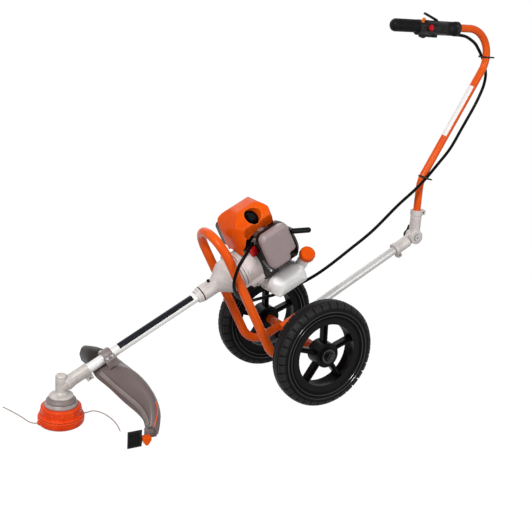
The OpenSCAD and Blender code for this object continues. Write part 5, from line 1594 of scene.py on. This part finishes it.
@dataclass
class Wheel:
    """One wheel: a tyre with ridges and lugs on a moulded rim."""

    side: WheelSide
    axle_x: float = 0.677
    axle_z: float = 0.150
    half_track: float = 0.155
    lug_count: int = 36
    lug_gap: float = 0.0048
    lug_r: float = 0.150
    lug_round: float = 0.0011
    # Radius and width at which each polished ring lies on the sidewall
    ring_seats: tuple[Flat, ...] = ((0.1247, 0.0269), (0.1147, 0.0263))
    ring_half_foot: float = 0.0009
    ring_half_top: float = 0.0005
    ring_h: float = 0.0006
    # Section of the hub's washer: radius, and width outwards
    washer: tuple[Flat, ...] = ((0.0165, 0.0300), (0.0195, 0.0300), (0.0200, 0.0306), (0.0195, 0.0312),
                                (0.0165, 0.0312))

    @property
    def label(self) -> str:
        """Name of the side."""
        return self.side.name.lower()

    @property
    def place(self) -> Matrix:
        """Frame of the wheel: Z runs along the axle, towards the left side of the machine."""
        return Matrix.Translation((self.axle_x, self.side.value * self.half_track, self.axle_z)) @ FACE_LEFT

    def lugs(self) -> list[Piece]:
        """Models one shoulder lug and copies it round both shoulders."""
        pitch = TURN / self.lug_count
        length = self.lug_r * pitch - self.lug_gap
        first = raised("lug", LUG_SECTION, length)
        first.data.transform(Matrix.Translation((0, 0, -length / 2)))
        ease(first, self.lug_round, 2)
        # The section was drawn as radius and width, so the width is laid along the axle
        first.data.transform(Matrix.Rotation(math.radians(90), 4, "X"))
        # The lugs of the two shoulders stand half a pitch apart
        places = []
        for shoulder in (-1, 1):
            over = Matrix.Rotation(math.pi if shoulder < 0 else 0.0, 4, "X")
            for i in range(self.lug_count):
                places.append(Matrix.Rotation(pitch * (i + 0.5 + shoulder / 4), 4, "Z") @ over)
        return repeated("lug", first, places)

    def tyre(self) -> None:
        """Joins carcass and lugs, and lays two polished rings on each side."""
        section = [*TYRE_HALF, *((r, -h) for r, h in reversed(TYRE_HALF[1:]))]
        carcass = turned(f"{self.label}_tyre_carcass", section, Matrix.Identity(4), steps=120)
        whole = joined(f"{self.label}_tyre_tread", [carcass, *self.lugs()])
        stand_for(placed(whole, self.place), f"{self.label}_tyre", Look.TYRE)
        rings = []
        foot, top = self.ring_half_foot, self.ring_half_top
        for way in (-1, 1):
            for r, h in self.ring_seats:
                low, high = way * h, way * (h + self.ring_h)
                profile = [(r - foot, low), (r - top, high), (r + top, high), (r + foot, low)]
                rings.append(turned("ring", profile, self.place, steps=96))
        wear(joined(f"{self.label}_tyre_rings", rings), Look.RING, f"{self.label}_wheel")

    def hub(self) -> None:
        """Lays a stepped washer on the outer face of the hub."""
        profile = [(r, -self.side.value * h) for r, h in self.washer]
        washer = turned(f"{self.label}_hub_washer", profile, self.place)
        wear(washer, Look.RING, f"{self.label}_wheel")

    def build(self) -> None:
        """Makes the wheel's pieces."""
        self.tyre()
        self.hub()


@dataclass
class Handle:
    """Folding joint, handlebar, grips and ties."""

    studio: Studio
    bar_r: float = 0.011
    film_foot: Point = (1.1583, 0.0, 0.7023)
    film_way: Point = (0.5, 0, 0.866)
    film_len: float = 0.166
    film_span_deg: Flat = (-112.0, 10.0)
    # Foot and direction of the cut end of each cable tie
    tails_at: tuple[tuple[Point, Point], ...] = (((1.2890, -0.0075, 0.9335), (0.52, -0.854, 0.02)),
                                                 ((1.0990, -0.0160, 0.5815), (0.55, -0.83, -0.1)))
    tail_size: Point = (0.0045, 0.0014, 0.010)
    tail_round: float = 0.0003
    tip_len: float = 0.003
    tip_share: float = 0.55

    def tails(self) -> None:
        """Adds the cut ends of the two cable ties, each with a narrow tip."""
        ends = []
        for foot, way in self.tails_at:
            tail = cuboid("tail", self.tail_size)
            with editing_faces(tail, looks_up):
                bpy.ops.mesh.extrude_region_move(TRANSFORM_OT_translate={"value": (0, 0, self.tip_len)})
                bpy.ops.transform.resize(value=(self.tip_share, 1, 1))
            ease(tail, self.tail_round, 2)
            aim = Vector(way).to_track_quat("Z", "X").to_matrix().to_4x4()
            stand = Matrix.Translation((0, 0, self.tail_size[2] / 2))
            ends.append(placed(tail, Matrix.Translation(foot) @ aim @ stand))
        wear(joined("cable_tie_tails", ends), Look.BLACK, "handle")

    def build(self) -> None:
        """Makes the joint's castings, the bare white film, the ties' ends and the control housing.

        The housing isn't softened, which leaves the bore of its button as it is.
        """
        moulded("lower_joint", "lower_joint_casting", Look.CAST, voxel_mm=0.8, passes=3, keep=0.8)
        moulded("upper_joint", "upper_joint_casting", Look.CAST, voxel_mm=0.8, passes=3, keep=0.8)
        film = self.studio.film("handlebar_film", Vector(self.film_way), Vector(self.film_foot), self.bar_r,
                                self.film_len, self.film_span_deg)
        wear(film, Look.FILM, "handle")
        self.tails()
        stand_for(copied("throttle_grip", "throttle_housing"), "throttle_grip", Look.BLACK)


def paint_nodes() -> None:
    """Gives every carried-over solid its finish."""
    for look, names in NODE_LOOKS.items():
        for name in names:
            node = frame["nodes"][name]
            node.data.materials.clear()
            node.data.materials.append(look.material)
            log.info("%s: %s", name, look.value.name)


def main() -> None:
    """Builds the studio and dresses each sub-assembly."""
    logging.basicConfig(level=logging.INFO, format="%(message)s")
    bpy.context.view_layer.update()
    studio = Studio()
    studio.build()
    Cords().build()
    paint_nodes()
    CuttingHead().build()
    Guard(studio).build()
    DriveTube(studio).build()
    Engine(studio).build()
    AirFilter().build()
    FuelTank().build()
    for side in WheelSide:
        Wheel(side).build()
    Handle(studio).build()


if __name__ == "__main__":
    main()
